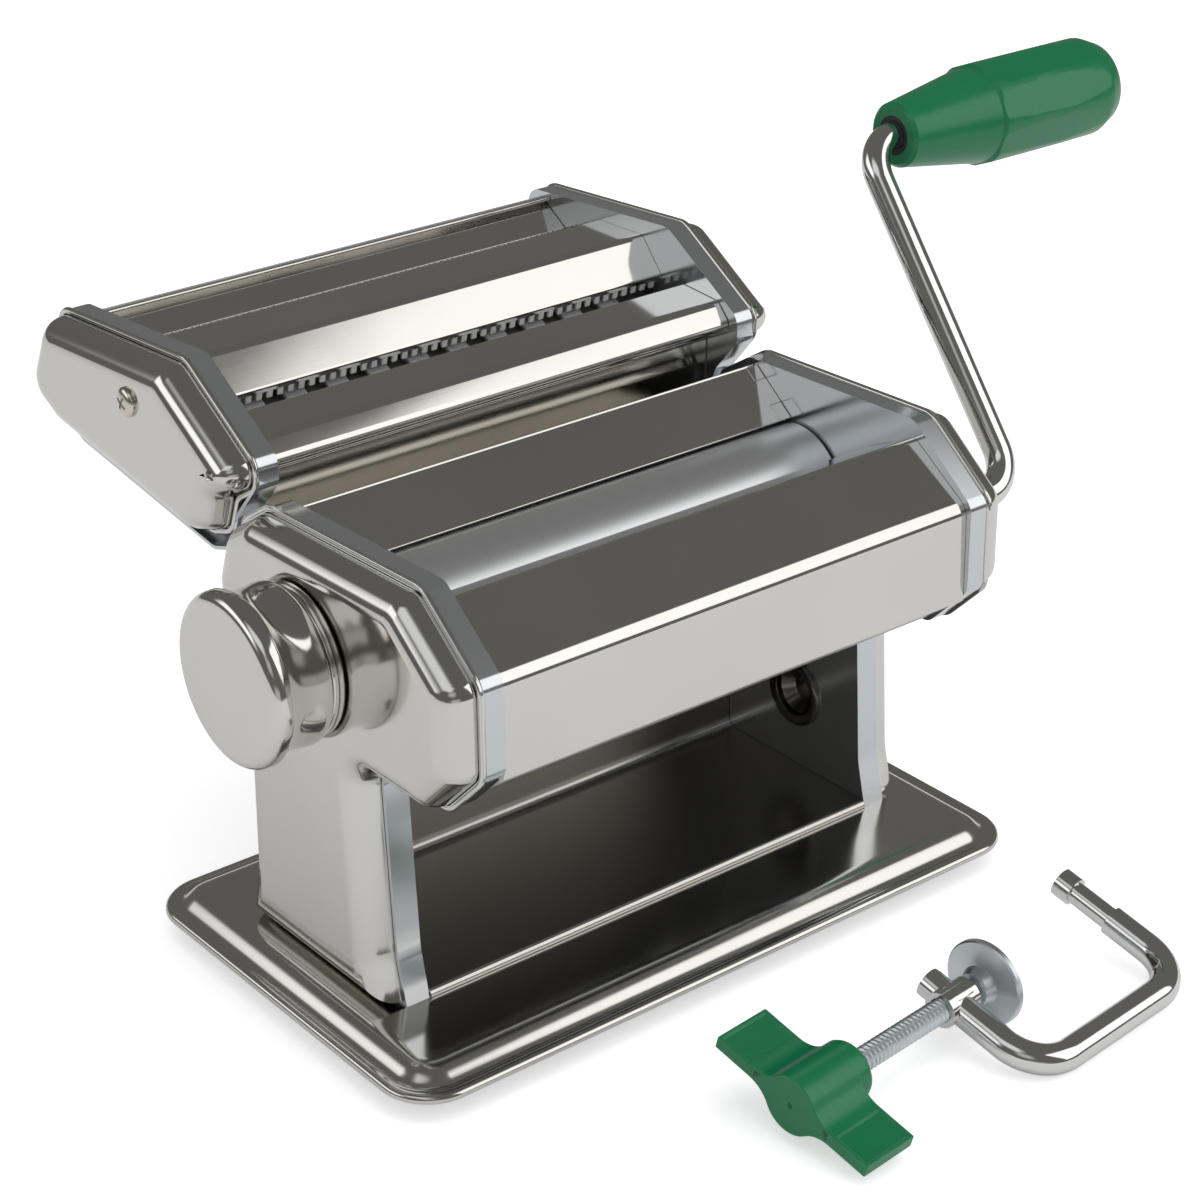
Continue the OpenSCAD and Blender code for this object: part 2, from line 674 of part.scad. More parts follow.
module roller(y, left_end, right_end) color(dark_steel)
    turned_x([[0, -left_end], [journal_radius - 0.5, -left_end], [journal_radius, -left_end + 0.5],
        [journal_radius, -roller_end], [roller_radius - 0.4, -roller_end], [roller_radius, -roller_end + 0.4],
        [roller_radius, roller_end - 0.4], [roller_radius - 0.4, roller_end], [journal_radius, roller_end],
        [journal_radius, right_end - 0.5], [journal_radius - 0.5, right_end], [0, right_end]], y, roller_z);

module front_roller() roller(front_y, yoke_end, shaft_stop - 0.2);

module rear_roller() roller(0, plate_x + sheet + bush_flange - 0.3, gear_x + gear_width);

roller_gear_size = (2 * roller_radius + thinnest_sheet) / roller_teeth;

// Socket for the crank: round mouth, then a smaller end with two flats that turn it.
module crank_socket(y, z) {
    bar_x(socket_radius, socket_floor + key_depth, hub_end + 1, y, z);
    intersection() {
        bar_x(key_radius + 0.1, socket_floor, socket_floor + key_depth + 1, y, z);
        translate([socket_floor, y - socket_radius, z - key_width / 2 - 0.1])
            cube([key_depth + 1, 2 * socket_radius, key_width + 0.2]);
    }
}

module drive_gear() color(dark_steel) difference() {
    union() {
        spur_gear(roller_teeth, roller_gear_size, gear_width, gear_x, front_y, roller_z, 0);
        bar_x(hub_radius, gear_x, hub_end, front_y, roller_z);
    }
    bar_x(journal_radius + press_gap, gear_x - 1, shaft_stop, front_y, roller_z);
    crank_socket(front_y, roller_z);
}

module rear_gear() color(dark_steel) difference() {
    spur_gear(roller_teeth, roller_gear_size, gear_width, gear_x, 0, roller_z, 180 + 180 / roller_teeth);
    bar_x(journal_radius + press_gap, gear_x - 1, gear_x + gear_width + 1, 0, roller_z);
}

// ---- crank ------------------------------------------------------------------------

grip_x = arm_x + crank_bend;
grip_pin = grip_length * 0.75;
bush_length = 5;

// Rod bent twice at right angles, drawn lying flat and then swung up to the crank's angle.
module crank_handle() color(steel)
    translate([0, front_y, roller_z]) rotate([crank_angle, 0, 0]) difference() {
        r = crank_rod / 2;
        union() {
            bar_x(key_radius, crank_tip, crank_tip + key_depth + 1, 0, 0);
            bar_x(r, crank_tip + key_depth, arm_x - crank_bend, 0, 0);
            translate([arm_x - crank_bend, crank_bend, 0]) rotate([0, 0, -90])
                rotate_extrude(angle = 90) translate([crank_bend, 0]) circle(r);
            translate([arm_x, crank_bend, 0]) rotate([-90, 0, 0])
                cylinder(r = r, h = crank_arm - 2 * crank_bend);
            translate([arm_x + crank_bend, crank_arm - crank_bend, 0]) rotate([0, 0, 90])
                rotate_extrude(angle = 90) translate([crank_bend, 0]) circle(r);
            bar_x(r, grip_x, grip_x + grip_pin, crank_arm, 0);
        }
        for (side = [0, 1]) rotate([-crank_angle, 0, 0]) mirror([0, 0, side])
            translate([crank_tip - 1, -r, key_width / 2]) cube([key_depth + 1, 2 * r, r]);
        translate([grip_x + 2, crank_arm, 0]) rotate([0, 90, 0]) rotate_extrude()
            polygon([[r - 0.7, 0], [r + 1, 0], [r + 1, 1.6], [r - 0.7, 1.6]]);
    }

module at_grip() translate([grip_x, front_y + crank_arm * cos(crank_angle), roller_z + crank_arm * sin(crank_angle)])
    rotate([0, 90, 0]) children();

module crank_grip() color(green) at_grip() difference() {
    cone = 0.36 * grip_length;
    intersection() {
        union() {
            cylinder(r1 = 0.72 * grip_radius, r2 = 1.04 * grip_radius, h = cone, $fn = 8);
            translate([0, 0, cone]) cylinder(r = 1.08 * grip_radius, h = grip_length - cone, $fn = 8);
        }
        rotate_extrude() polygon([[0, 0], [8.2, 0], [9.2, 1], [0.96 * grip_radius, cone - 0.4],
            [0.96 * grip_radius, cone], [1.03 * grip_radius, cone + 1.2], [1.05 * grip_radius, 0.7 * grip_length],
            [grip_radius, grip_length - 8], [0.86 * grip_radius, grip_length - 3],
            [0.6 * grip_radius, grip_length], [0, grip_length]]);
    }
    translate([0, 0, -1]) cylinder(r = crank_rod / 2 + running_clearance, h = grip_pin + 2.5);
    translate([0, 0, -1]) cylinder(r = crank_rod / 2 + 1.6, h = bush_length + 1);
}

// Bush snapped into the rod's groove that keeps the grip on.
module grip_bush() color(rubber) at_grip() {
    r = crank_rod / 2;
    rotate_extrude() polygon([[r + 0.1, 0.2], [r + 1.58, 0.2], [r + 1.58, bush_length - 0.05],
        [r + 0.1, bush_length - 0.05], [r + 0.1, 3.3], [r - 0.5, 3.3], [r - 0.5, 2.3], [r + 0.1, 2.3]]);
}

// ---- thickness knob ---------------------------------------------------------------

stop_track = 14.5;
stop_pin = 1.2;
stop_turn = 170;
track_depth = 1;
track_ease = 7;

// Profile of [radius, distance out from the middle] turned about the knob's axis.
module knob_turned(profile) mirror([1, 0, 0]) turned_x(profile, 0, roller_z);

// Ring on the cover's face with the track that limits the knob's turn.
module index_ring() color(steel) difference() {
    knob_turned([[spindle / 2 + running_clearance, face_x], [index_radius, face_x],
        [index_radius, face_x + index_depth - 0.4], [index_radius - 0.4, face_x + index_depth],
        [spindle / 2 + running_clearance, face_x + index_depth]]);
    translate([-face_x - index_depth - 1, 0, roller_z]) rotate([0, 90, 0]) rotate([0, 0, 180 - track_ease])
        rotate_extrude(angle = stop_turn + 2 * track_ease) translate([stop_track - stop_pin - 0.3, 0])
            square([2 * stop_pin + 0.6, track_depth + 1]);
}

module knob_spindle() color(dark_steel) {
    knob_turned([[0, cam_x], [10, cam_x], [10, cam_x + cam_disc], [spindle / 2, cam_x + cam_disc],
        [spindle / 2, cap_seam + 0.3], [spring_pocket - 0.5, cap_seam + 0.3],
        [spring_pocket - 0.5, cap_seam + 1.3], [0, cap_seam + 1.3]]);
    translate([0, roller_travel / 2, 0])
        mirror([1, 0, 0]) bar_x(cam_pin, yoke_end - 1.6, cam_x + 0.5, 0, roller_z);
}

module knob_body() color(steel) {
    knob_turned([[spindle / 2 + running_clearance, knob_back], [knob_radius - 1.9, knob_back],
        [knob_radius - 1.3, knob_back + 3.7], [knob_radius - 2.3, knob_back + 8.7],
        [knob_radius - 1, cap_seam - 0.1], [knob_radius - 3, cap_seam - 0.1],
        [knob_radius - 3, cap_seam + 1.5], [spring_pocket, cap_seam + 1.5],
        [spring_pocket, cap_seam - spring_room], [spindle / 2 + running_clearance, cap_seam - spring_room]]);
    mirror([1, 0, 0]) bar_x(stop_pin, knob_back - knob_gap - track_depth + 0.2, knob_back + 0.1,
        0, roller_z + stop_track);
}

module knob_cap() color(steel)
    knob_turned([[0, knob_front - 1.6], [knob_radius - 3 + 0.05, knob_front - 1.6],
        [knob_radius - 3 + 0.05, cap_seam], [knob_radius - 0.3, cap_seam], [knob_radius, cap_seam + 0.5],
        [knob_radius - 0.6, knob_front - 2], [knob_radius - 3.4, knob_front], [0, knob_front]]);

// Coil spring between the knob's pocket and the head on the spindle, drawn as separate rings.
module knob_spring() color(steel) {
    turns = 3;
    r = spindle / 2 + 1.6;
    for (i = [0:turns])
        mirror([1, 0, 0]) translate([cap_seam - spring_room + 0.9 + i * 1.75, 0, roller_z]) rotate([0, 90, 0])
            rotate_extrude() translate([r, 0]) circle(0.85, $fn = 24);
}

// ---- cutter unit ------------------------------------------------------------------

module unit_holes() {
    for (a = cutter_axes) hole_x(cutter_bush_radius + press_gap, plate_x - 1, plate_x + 3, a[0], a[1]);
    for (rod = unit_rods)
        hole_x(screw_radius + 0.5, plate_x - 1, plate_x + 3, rod[0], rod[1]);
}

module cutter_right_frame() color(steel) difference() {
    drawn_frame(unit_outline, 500);
    unit_holes();
}

module cutter_left_frame() color(steel) mirror([1, 0, 0]) difference() {
    drawn_frame(unit_outline, 500);
    unit_holes();
}

module unit_cover() difference() {
    drawn_cover(unit_outline);
    hole_x(cap_screw_radius + hole_slack, face_x - 3, face_x + 1, cap_screw_at[0], cap_screw_at[1]);
}

module cutter_left_cover() color(steel) mirror([1, 0, 0]) unit_cover();

module cutter_right_cover() color(steel) difference() {
    unit_cover();
    for (a = [wide_front, fine_front]) hole_x(cutter_hole, face_x - 3, face_x + 1, a[0], a[1]);
}

module cutter_front_cover() color(steel)
    folded_sheet(from_unit([[22.8, -14.7, 0], [8, -15.6, 4], [4, -19.8, 1.6], [3.2, -21.8, 1.6],
        [6, -23.8, 2], [12.6, -26.3, 3], [13.4, -44.8, 0]]), sheet_half);

module cutter_middle_cover() color(steel)
    folded_sheet(from_unit([[64, -11.8, 0], [61.5, -5.8, 2], [54, -5.1, 0], [41, -5.1, 3],
        [32.6, -14.7, 1.5], [33.4, -19, 0]]), sheet_half);

module cutter_rear_guide() color(steel)
    folded_sheet(from_unit([[85.9, -6.5, 0], [76.4, -12.4, 0]]), sheet_half);

module cutter_rear_cover() color(steel)
    folded_sheet(from_unit([[91, -39.3, 0], [99, -35.8, 3], [102, -30.3, 4], [90.5, -6.3, 5],
        [83.5, -4.8, 0]]), sheet_half);

// Tongues that hang the unit in the rails, bent back at the top and riveted to the apron.
module cutter_tongues() color(dark_steel) {
    tip_h = rail_h - rail_height / 2 + sheet + 0.2;
    y = head_back + 0.25 + tongue_slack;
    apron_y = unit_front + 14.5;
    for (sx = [-1, 1]) {
        along_x(sx * tongue_x - tongue_width / 2, tongue_width) translate([0, rim_z])
            polygon(sheet_section(folded([[y, tip_h, 0], [y, unit_under_h + 1.2, 2],
                [apron_y, unit_under_h + 4.5, 1.2], [apron_y, unit_under_h + 15, 0]]), -tongue_sheet));
    }
}

module cutter_tie_rods() color(dark_steel) difference() {
    for (rod = unit_rods) bar_x(rod[2], -plate_x, plate_x, rod[0], rim_z + rod[1]);
    both_sides() for (rod = unit_rods)
        hole_x(screw_radius + press_gap, plate_x - screw_depth - 1, plate_x + 1, rod[0], rod[1]);
}

// Cross-head screws through the covers, and slotted ones on the two rods hidden inside.
module cutter_cap_screws() color(dark_steel) both_sides() {
    y = cap_screw_at[0];
    z = rim_z + cap_screw_at[1];
    difference() {
        turned_x([[0, plate_x - screw_depth + 0.5], [screw_radius, plate_x - screw_depth + 0.5],
            [screw_radius, plate_x + sheet + 0.3], [cap_screw_radius, plate_x + sheet + 0.3],
            [cap_screw_radius, face_x + 0.05], [cap_screw_head, face_x + 0.05],
            [cap_screw_head - 0.4, face_x + 0.9], [cap_screw_head - 1.8, face_x + 1.8],
            [0, face_x + 2.1]], y, z);
        for (turn = [0, 90]) translate([face_x + 0.9, y, z]) rotate([turn + 30, 0, 0])
            translate([0, -2.1, -0.4]) cube([3, 4.2, 0.8]);
    }
    for (i = [0, 1]) slotted_screw(plate_x + sheet, unit_rods[i][0], rim_z + unit_rods[i][1]);
}

module cutter_bushes() color(dark_steel) both_sides() for (a = cutter_axes)
    turned_x([[cutter_journal + running_clearance, plate_x - 1], [cutter_bush_radius, plate_x - 1],
        [cutter_bush_radius, plate_x + sheet], [cutter_bush_radius + 1.5, plate_x + sheet],
        [cutter_bush_radius + 1.5, plate_x + sheet + cutter_flange],
        [cutter_journal + running_clearance, plate_x + sheet + cutter_flange]], a[0], rim_z + a[1]);

// Half the number of ribbons either side of the middle that fit between the frames.
function ring_places(ribbon, shift) =
    let(pitch = 2 * ribbon, n = ceil(cutter_end / pitch) + 1)
    [for (i = [-n:n]) let(x = i * pitch + shift) if (abs(x) + ribbon / 2 < cutter_end - 0.5) x];

// Grooved cutting roller turned from one profile: rings one ribbon wide, one ribbon apart.
module cutter_roller(axis, ribbon, shift, right_end) {
    groove_r = cutter_radius - groove_depth;
    half = ribbon / 2 - ring_slack / 2;
    rings = [for (x = ring_places(ribbon, shift))
        each [[groove_r, x - half], [cutter_radius - 0.1, x - half], [cutter_radius, x - half + 0.1],
            [cutter_radius, x + half - 0.1], [cutter_radius - 0.1, x + half], [groove_r, x + half]]];
    left = -plate_x - sheet - cutter_flange;
    turned_x(concat([[0, left], [cutter_journal, left], [cutter_journal, -cutter_end], [groove_r, -cutter_end]],
        rings, [[groove_r, cutter_end], [cutter_journal, cutter_end], [cutter_journal, right_end],
            [0, right_end]]), axis[0], rim_z + axis[1]);
}

module wide_cutter_front() color(dark_steel)
    cutter_roller(wide_front, wide_ribbon, 0, shaft_stop - 0.2);
module wide_cutter_rear() color(dark_steel)
    cutter_roller(wide_rear, wide_ribbon, wide_ribbon, wide_gear_x + cutter_gear_width);
module fine_cutter_front() color(dark_steel)
    cutter_roller(fine_front, fine_ribbon, 0, shaft_stop - 0.2);
module fine_cutter_rear() color(dark_steel)
    cutter_roller(fine_rear, fine_ribbon, fine_ribbon, fine_gear_x + cutter_gear_width);

// Gear of a cutting pair. The driven one carries a hub with the crank's socket.
module cutter_gear(axis, x, angle, driven) {
    y = axis[0];
    z = rim_z + axis[1];
    difference() {
        union() {
            spur_gear(cutter_teeth, cutter_pitch / cutter_teeth, cutter_gear_width, x, y, z, angle);
            bar_x(cutter_hub, wide_gear_x, driven ? hub_end : x + 0.1, y, z);
        }
        bar_x(cutter_journal + press_gap, wide_gear_x - 1, driven ? shaft_stop : x + cutter_gear_width + 1, y, z);
        if (driven) crank_socket(y, z);
    }
}

rear_phase = unit_lean + 180 + 180 / cutter_teeth;
module wide_gear_front() color(dark_steel) cutter_gear(wide_front, wide_gear_x, unit_lean, true);
module wide_gear_rear() color(dark_steel) cutter_gear(wide_rear, wide_gear_x, rear_phase, false);
module fine_gear_front() color(dark_steel) cutter_gear(fine_front, fine_gear_x, unit_lean, true);
module fine_gear_rear() color(dark_steel) cutter_gear(fine_rear, fine_gear_x, rear_phase, false);

// Comb whose teeth stand in a roller's grooves and lift the ribbons out.
module comb(axis, ribbon, shift) {
    spine_low = -cutter_radius - 5;
    spine_high = -cutter_radius - 0.8;
    tooth_high = groove_depth - cutter_radius - 0.4;
    half = ribbon / 2 - 0.3;
    teeth = [for (x = ring_places(ribbon, shift))
        each [[x - half, spine_high], [x - half + 0.1, tooth_high], [x + half - 0.1, tooth_high], [x + half, spine_high]]];
    translate([0, axis[0] + comb_sheet / 2, rim_z + axis[1]]) rotate([90, 0, 0]) linear_extrude(comb_sheet)
        polygon(concat([[-sheet_half, spine_low], [-sheet_half, spine_high]], teeth,
            [[sheet_half, spine_high], [sheet_half, spine_low]]));
}

module wide_combs() color(steel) {
    comb(wide_front, wide_ribbon, wide_ribbon);
    comb(wide_rear, wide_ribbon, 0);
}

module fine_combs() color(steel) {
    comb(fine_front, fine_ribbon, fine_ribbon);
    comb(fine_rear, fine_ribbon, 0);
}

// ---- table clamp ------------------------------------------------------------------

thread_radius = clamp_screw_size / 2;
bore_slack = 0.08;
screw_back = 54;
pad_front = pad_x + 1.6;
pad_back = pad_front - 2.2;
neck = thread_radius - 0.8;

// The clamp's own frame: X along the screw towards the pad, Y from the back to the open side.
module in_clamp() translate([clamp_at[0], clamp_at[1], clamp_rod / 2])
    rotate([0, 0, clamp_yaw]) rotate([clamp_tilt, 0, 0]) children();

module rod_y(r, x, y0, y1) translate([x, y0, 0]) rotate([-90, 0, 0]) cylinder(r = r, h = y1 - y0);

module clamp_corner(x, from)
    translate([x, clamp_bend, 0]) rotate([0, 0, from]) rotate_extrude(angle = 90)
        translate([clamp_bend, 0]) circle(clamp_rod / 2);

module clamp_frame() color(steel) in_clamp() difference() {
    r = clamp_rod / 2;
    union() {
        bar_x(r, clamp_bend, clamp_back - clamp_bend, 0, 0);
        clamp_corner(clamp_bend, 180);
        clamp_corner(clamp_back - clamp_bend, -90);
        rod_y(r, 0, clamp_bend, clamp_throat + clamp_tail);
        rod_y(r, clamp_back, clamp_bend, pin_step);
        rod_y(pin_neck, clamp_back, pin_step, clamp_pin_arm);
        rod_y(r, clamp_back, clamp_pin_arm - 5, clamp_pin_arm);
        bar_x(thread_radius + 1.6, -5.2, 5.2, clamp_throat, 0);
    }
    bar_x(thread_radius + bore_slack, -7, 7, clamp_throat, 0);
}

module clamp_screw() color(dark_steel) in_clamp() translate([0, clamp_throat, 0])
    turned_x([[0, -screw_back], [thread_radius, -screw_back], [thread_radius, pad_back - 4.2],
        [neck, pad_back - 4.2], [neck, pad_back + 0.1], [neck + 0.6, pad_back + 0.1],
        [neck + 0.6, pad_back + 0.7], [0, pad_back + 0.7]], 0, 0);

// Swivelling pad with a raised boss that takes the neck of the screw.
module clamp_pad() color(dark_steel) in_clamp() translate([0, clamp_throat, 0])
    turned_x([[neck + 0.1, pad_back - 3.6], [thread_radius + 1.2, pad_back - 3.6],
        [thread_radius + 2.2, pad_back - 0.6], [clamp_pad_radius - 0.4, pad_back + 0.4],
        [clamp_pad_radius, pad_back + 0.8], [clamp_pad_radius, pad_front], [0, pad_front],
        [0, pad_back + 0.9], [neck + 0.8, pad_back + 0.9], [neck + 0.8, pad_back], [neck + 0.1, pad_back]], 0, 0);

// Wing moulded on the screw: two flat leaves that run into a round hub, with a sleeve in front.
module clamp_wing() color(green) in_clamp() translate([0, clamp_throat, 0]) {
    back = -49.9 - hub_length / 2;
    reach = [sqrt(pow(hub_radius_wing + wing_fillet, 2) - pow(wing_leaf / 2 + wing_fillet, 2)),
        wing_leaf / 2 + wing_fillet];
    touch = reach * hub_radius_wing / (hub_radius_wing + wing_fillet);
    difference() {
        union() {
            turned_x([[0, back], [hub_radius_wing - 0.6, back], [hub_radius_wing, back + 0.6],
                [hub_radius_wing, back + hub_length - 1.4], [hub_radius_wing - 1.4, back + hub_length],
                [0, back + hub_length]], 0, 0);
            along_x(back, wing_width) for (flip = [0, 1], turn = [0, 180])
                rotate(turn) mirror([0, flip]) difference() {
                    polygon([[0, 0], touch, [reach[0], touch[1]], [reach[0], 0]]);
                    translate(reach) circle(wing_fillet);
                }
            translate([0, 0, -wing_leaf / 2]) linear_extrude(wing_leaf)
                polygon(rounded([[back, -wing_span / 2, 2], [back + wing_width, -wing_span / 2, 2],
                    [back + wing_width, wing_span / 2, 2], [back, wing_span / 2, 2]]));
        }
        bar_x(thread_radius + press_gap, -screw_back - 0.1, back + hub_length + 1, 0, 0);
        bar_x(0.8, back - 1, back + 0.5, 0, 0);
    }
}

// ---- show the node asked for ------------------------------------------------------

base_plate();
rubber_feet();
left_frame();
right_frame();
left_cover();
right_cover();
front_cover();
rear_cover();
hopper_plate();
catch_tray();
tie_rods();
frame_screws();
roller_scrapers();
front_bushes();
clamp_socket();
index_ring();
cutter_rails();
front_roller();
drive_gear();
crank_handle();
crank_grip();
grip_bush();
rear_bushes();
rear_roller();
rear_gear();
knob_spindle();
knob_body();
knob_cap();
knob_spring();
cutter_left_frame();
cutter_right_frame();
cutter_left_cover();
cutter_right_cover();
cutter_front_cover();
cutter_middle_cover();
cutter_rear_guide();
cutter_rear_cover();
cutter_tongues();
cutter_tie_rods();
cutter_cap_screws();
cutter_bushes();
wide_combs();
fine_combs();
wide_cutter_front();
wide_cutter_rear();
fine_cutter_front();
fine_cutter_rear();
wide_gear_front();
wide_gear_rear();
fine_gear_front();
fine_gear_rear();
clamp_frame();
clamp_screw();
clamp_pad();
clamp_wing();
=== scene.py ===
"""Finishes, small details, light and camera for a hand-cranked pasta roller with its cutter unit
and table clamp."""

import math

import bmesh
import bpy
from mathutils import Matrix, Vector


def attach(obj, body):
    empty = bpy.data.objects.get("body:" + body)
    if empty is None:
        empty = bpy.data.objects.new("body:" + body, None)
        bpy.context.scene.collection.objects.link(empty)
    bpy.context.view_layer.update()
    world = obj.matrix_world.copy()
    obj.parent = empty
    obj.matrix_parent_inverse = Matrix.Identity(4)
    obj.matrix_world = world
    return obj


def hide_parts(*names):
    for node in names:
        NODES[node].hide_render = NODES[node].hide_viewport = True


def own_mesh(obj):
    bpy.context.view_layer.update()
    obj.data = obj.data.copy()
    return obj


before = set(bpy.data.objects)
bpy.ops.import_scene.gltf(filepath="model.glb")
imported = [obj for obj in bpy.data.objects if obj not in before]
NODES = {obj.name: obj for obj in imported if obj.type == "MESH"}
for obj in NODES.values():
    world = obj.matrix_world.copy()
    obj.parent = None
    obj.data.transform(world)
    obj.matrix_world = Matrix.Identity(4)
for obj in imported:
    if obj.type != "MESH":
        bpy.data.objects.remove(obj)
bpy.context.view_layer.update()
MM = 0.001
TURN = 2 * math.pi

# Places that finishes and pieces share, in millimetres: heights, or (y, z) as seen from the side.
RIM = 6.0                                       # underside of the base's rim, on its feet
AXLE = RIM + 94.5                               # height of the smoothing rollers and the knob
UNIT_Y, UNIT_Z = 27.0, RIM + 152.8              # front and top of the cutter unit
WIDE_HUB, WIDE_REAR = (51.5, 128.8), (68.0, 130.622)
FINE_HUB, FINE_REAR = (86.786, 132.696), (103.286, 134.518)
CAP_SCREW = (72.1, 144.8)


# ---- shader maths -----------------------------------------------------------------

class Value:
    """A socket in a node tree. Arithmetic on it adds Math nodes."""

    def __init__(self, nodes, socket):
        self.nodes, self.socket = nodes, socket

    def __add__(self, other): return self.nodes.maths("ADD", self, other)
    def __radd__(self, other): return self.nodes.maths("ADD", other, self)
    def __sub__(self, other): return self.nodes.maths("SUBTRACT", self, other)
    def __rsub__(self, other): return self.nodes.maths("SUBTRACT", other, self)
    def __mul__(self, other): return self.nodes.maths("MULTIPLY", self, other)
    def __rmul__(self, other): return self.nodes.maths("MULTIPLY", other, self)
    def __truediv__(self, other): return self.nodes.maths("DIVIDE", self, other)
    def __rtruediv__(self, other): return self.nodes.maths("DIVIDE", other, self)
    def sine(self): return self.nodes.maths("SINE", self)
    def root(self): return self.nodes.maths("SQRT", self)
    def turn_to(self, other): return self.nodes.maths("ARCTAN2", self, other)
    def held(self): return self.nodes.maths("ADD", self, 0, clamp=True)

    def between(self, low, high):
        """0 below low, 1 above high, and a smooth rise between them."""
        made = self.nodes.add("ShaderNodeMapRange", {"interpolation_type": "SMOOTHSTEP"},
                              {"Value": self, "From Min": low, "From Max": high})
        return made.out("Result")


class Node:
    """A node that was made, and its outputs as values."""

    def __init__(self, nodes, node):
        self.nodes, self.node = nodes, node

    def out(self, name=0):
        return Value(self.nodes, self.node.outputs[name])


class Nodes:
    """A node tree: of a material, of the world, or of a mesh modifier."""

    def __init__(self, tree):
        self.tree = tree

    def add(self, kind, settings=None, values=None):
        """The one way a node is made: its kind, its settings, then its sockets' values or links."""
        node = self.tree.nodes.new(kind)
        for key, value in (settings or {}).items():
            setattr(node, key, value)
        for key, value in (values or {}).items():
            self.give(node.inputs[key], value)
        return Node(self, node)

    def give(self, socket, value):
        if isinstance(value, Value):
            self.tree.links.new(value.socket, socket)
        elif socket.type == "RGBA":
            socket.default_value = (*value, 1)
        else:
            socket.default_value = value

    def maths(self, operation, *terms, clamp=False):
        settings = {"operation": operation, "use_clamp": clamp}
        return self.add("ShaderNodeMath", settings, dict(enumerate(terms))).out()

    def mixed(self, share, low, high):
        """Colour that goes from low to high as share goes from 0 to 1."""
        made = self.add("ShaderNodeMix", {"data_type": "RGBA"}, {"Factor": share, 6: low, 7: high})
        return made.out(2)


class Finish(Nodes):
    """One material, built round a Principled shader."""

    def __init__(self, name, metal=0.0):
        self.material = bpy.data.materials.new(name)
        self.material.use_nodes = True
        super().__init__(self.material.node_tree)
        self.shader = self.tree.nodes["Principled BSDF"]
        self.place = self.add("ShaderNodeTexCoord").out("Object")
        self.set("Metallic", metal)

    def set(self, name, value):
        self.give(self.shader.inputs[name], value)

    def surface(self, shader):
        """Material with another shader on its surface in place of the Principled one."""
        output = next(n for n in self.tree.nodes if n.type == "OUTPUT_MATERIAL")
        self.give(output.inputs["Surface"], shader)
        return self.material

    def axis(self, name):
        return self.add("ShaderNodeSeparateXYZ", None, {"Vector": self.place}).out(name)

    def stretched(self, *scale):
        """Place in the part, scaled by a different amount along each axis."""
        values = {0: self.place, 1: scale}
        return self.add("ShaderNodeVectorMath", {"operation": "MULTIPLY"}, values).out()

    def noise(self, scale, detail, rough, at=None):
        """Soft noise from 0 to 1, scale in waves per metre."""
        values = {"Vector": at or self.place, "Scale": scale, "Detail": detail, "Roughness": rough}
        return self.add("ShaderNodeTexNoise", None, values).out("Fac")

    def lines(self):
        """Noise drawn out along X, as polishing leaves it on sheet."""
        return self.noise(1, 3, 0.6, self.stretched(60, 2600, 2600))

    def edges(self, radius, width):
        """1 along the edges of the part and 0 on its open faces."""
        soft = self.add("ShaderNodeBevel", {"samples": 4}, {"Radius": radius}).out("Normal")
        hard = self.add("ShaderNodeNewGeometry").out("Normal")
        same = self.add("ShaderNodeVectorMath", {"operation": "DOT_PRODUCT"}, {0: soft, 1: hard})
        return 1 - same.out("Value").between(1 - width, 0.999)

    def bump(self, height, distance, over=None):
        """Normal raised by height times distance in metres, over another normal if one is given."""
        values = {"Height": height, "Distance": distance}
        if over is not None:
            values["Normal"] = over
        return self.add("ShaderNodeBump", None, values).out("Normal")


# ---- finishes ---------------------------------------------------------------------

def shade(colour, share, lift=0.0):
    """A colour made darker or lighter."""
    return tuple(min(1.0, share * c + lift) for c in colour)


def polished_sheet(name, base=(0.665, 0.65, 0.62), gloss=0.085, metal=1.0):
    """Mirror-polished stainless sheet: faint polishing lines, hazy patches and a slow wave."""
    f = Finish(name, metal)
    haze, patches, lines = f.noise(14, 3, 0.55), f.noise(55, 4, 0.6), f.lines()
    f.set("Base Color", f.mixed(haze.between(0.25, 0.75), shade(base, 0.97), shade(base, 1.03)))
    hazy = 0.035 * haze.between(0.35, 0.8) + 0.02 * patches.between(0.5, 0.85)
    f.set("Roughness", gloss + hazy + 0.012 * lines)
    wave = f.bump(f.noise(16, 1, 0.4), 0.00035)
    f.set("Normal", f.bump(lines, 0.0000012, over=wave))
    return f.material


def chrome(name, base=(0.72, 0.72, 0.71)):
    """Bright plated round bar: very smooth, with a light grain along the bar."""
    f = Finish(name, 1.0)
    grain = f.noise(1, 3, 0.6, f.stretched(500, 500, 90))
    f.set("Base Color", f.mixed(f.noise(40, 2, 0.5), shade(base, 0.95), base))
    f.set("Roughness", 0.06 + 0.06 * grain.between(0.35, 0.8))
    f.set("Normal", f.bump(grain, 0.00001))
    return f.material


def dull_tray_painted_shade(name, painted_shade_wall=(0.2, 0.188, 0.172), bottom=(0.56, 0.54, 0.51)):
    """Catch tray: satin sheet, rougher up its back, with painted shade that colours its back
    darker.
    """
    f = Finish(name, 1.0)
    haze, lines = f.noise(14, 3, 0.55), f.lines()
    up = (f.axis("Z") / MM).between(14.0, 17.5)
    # painted shade: the colour goes dark above 14 to 17.5 mm, up the tray's back
    f.set("Base Color", f.mixed(up, bottom, painted_shade_wall))
    f.set("Roughness", 0.2 + 0.04 * haze + 0.16 * up + 0.01 * lines)
    f.set("Normal", f.bump(lines, 0.0000012))
    return f.material


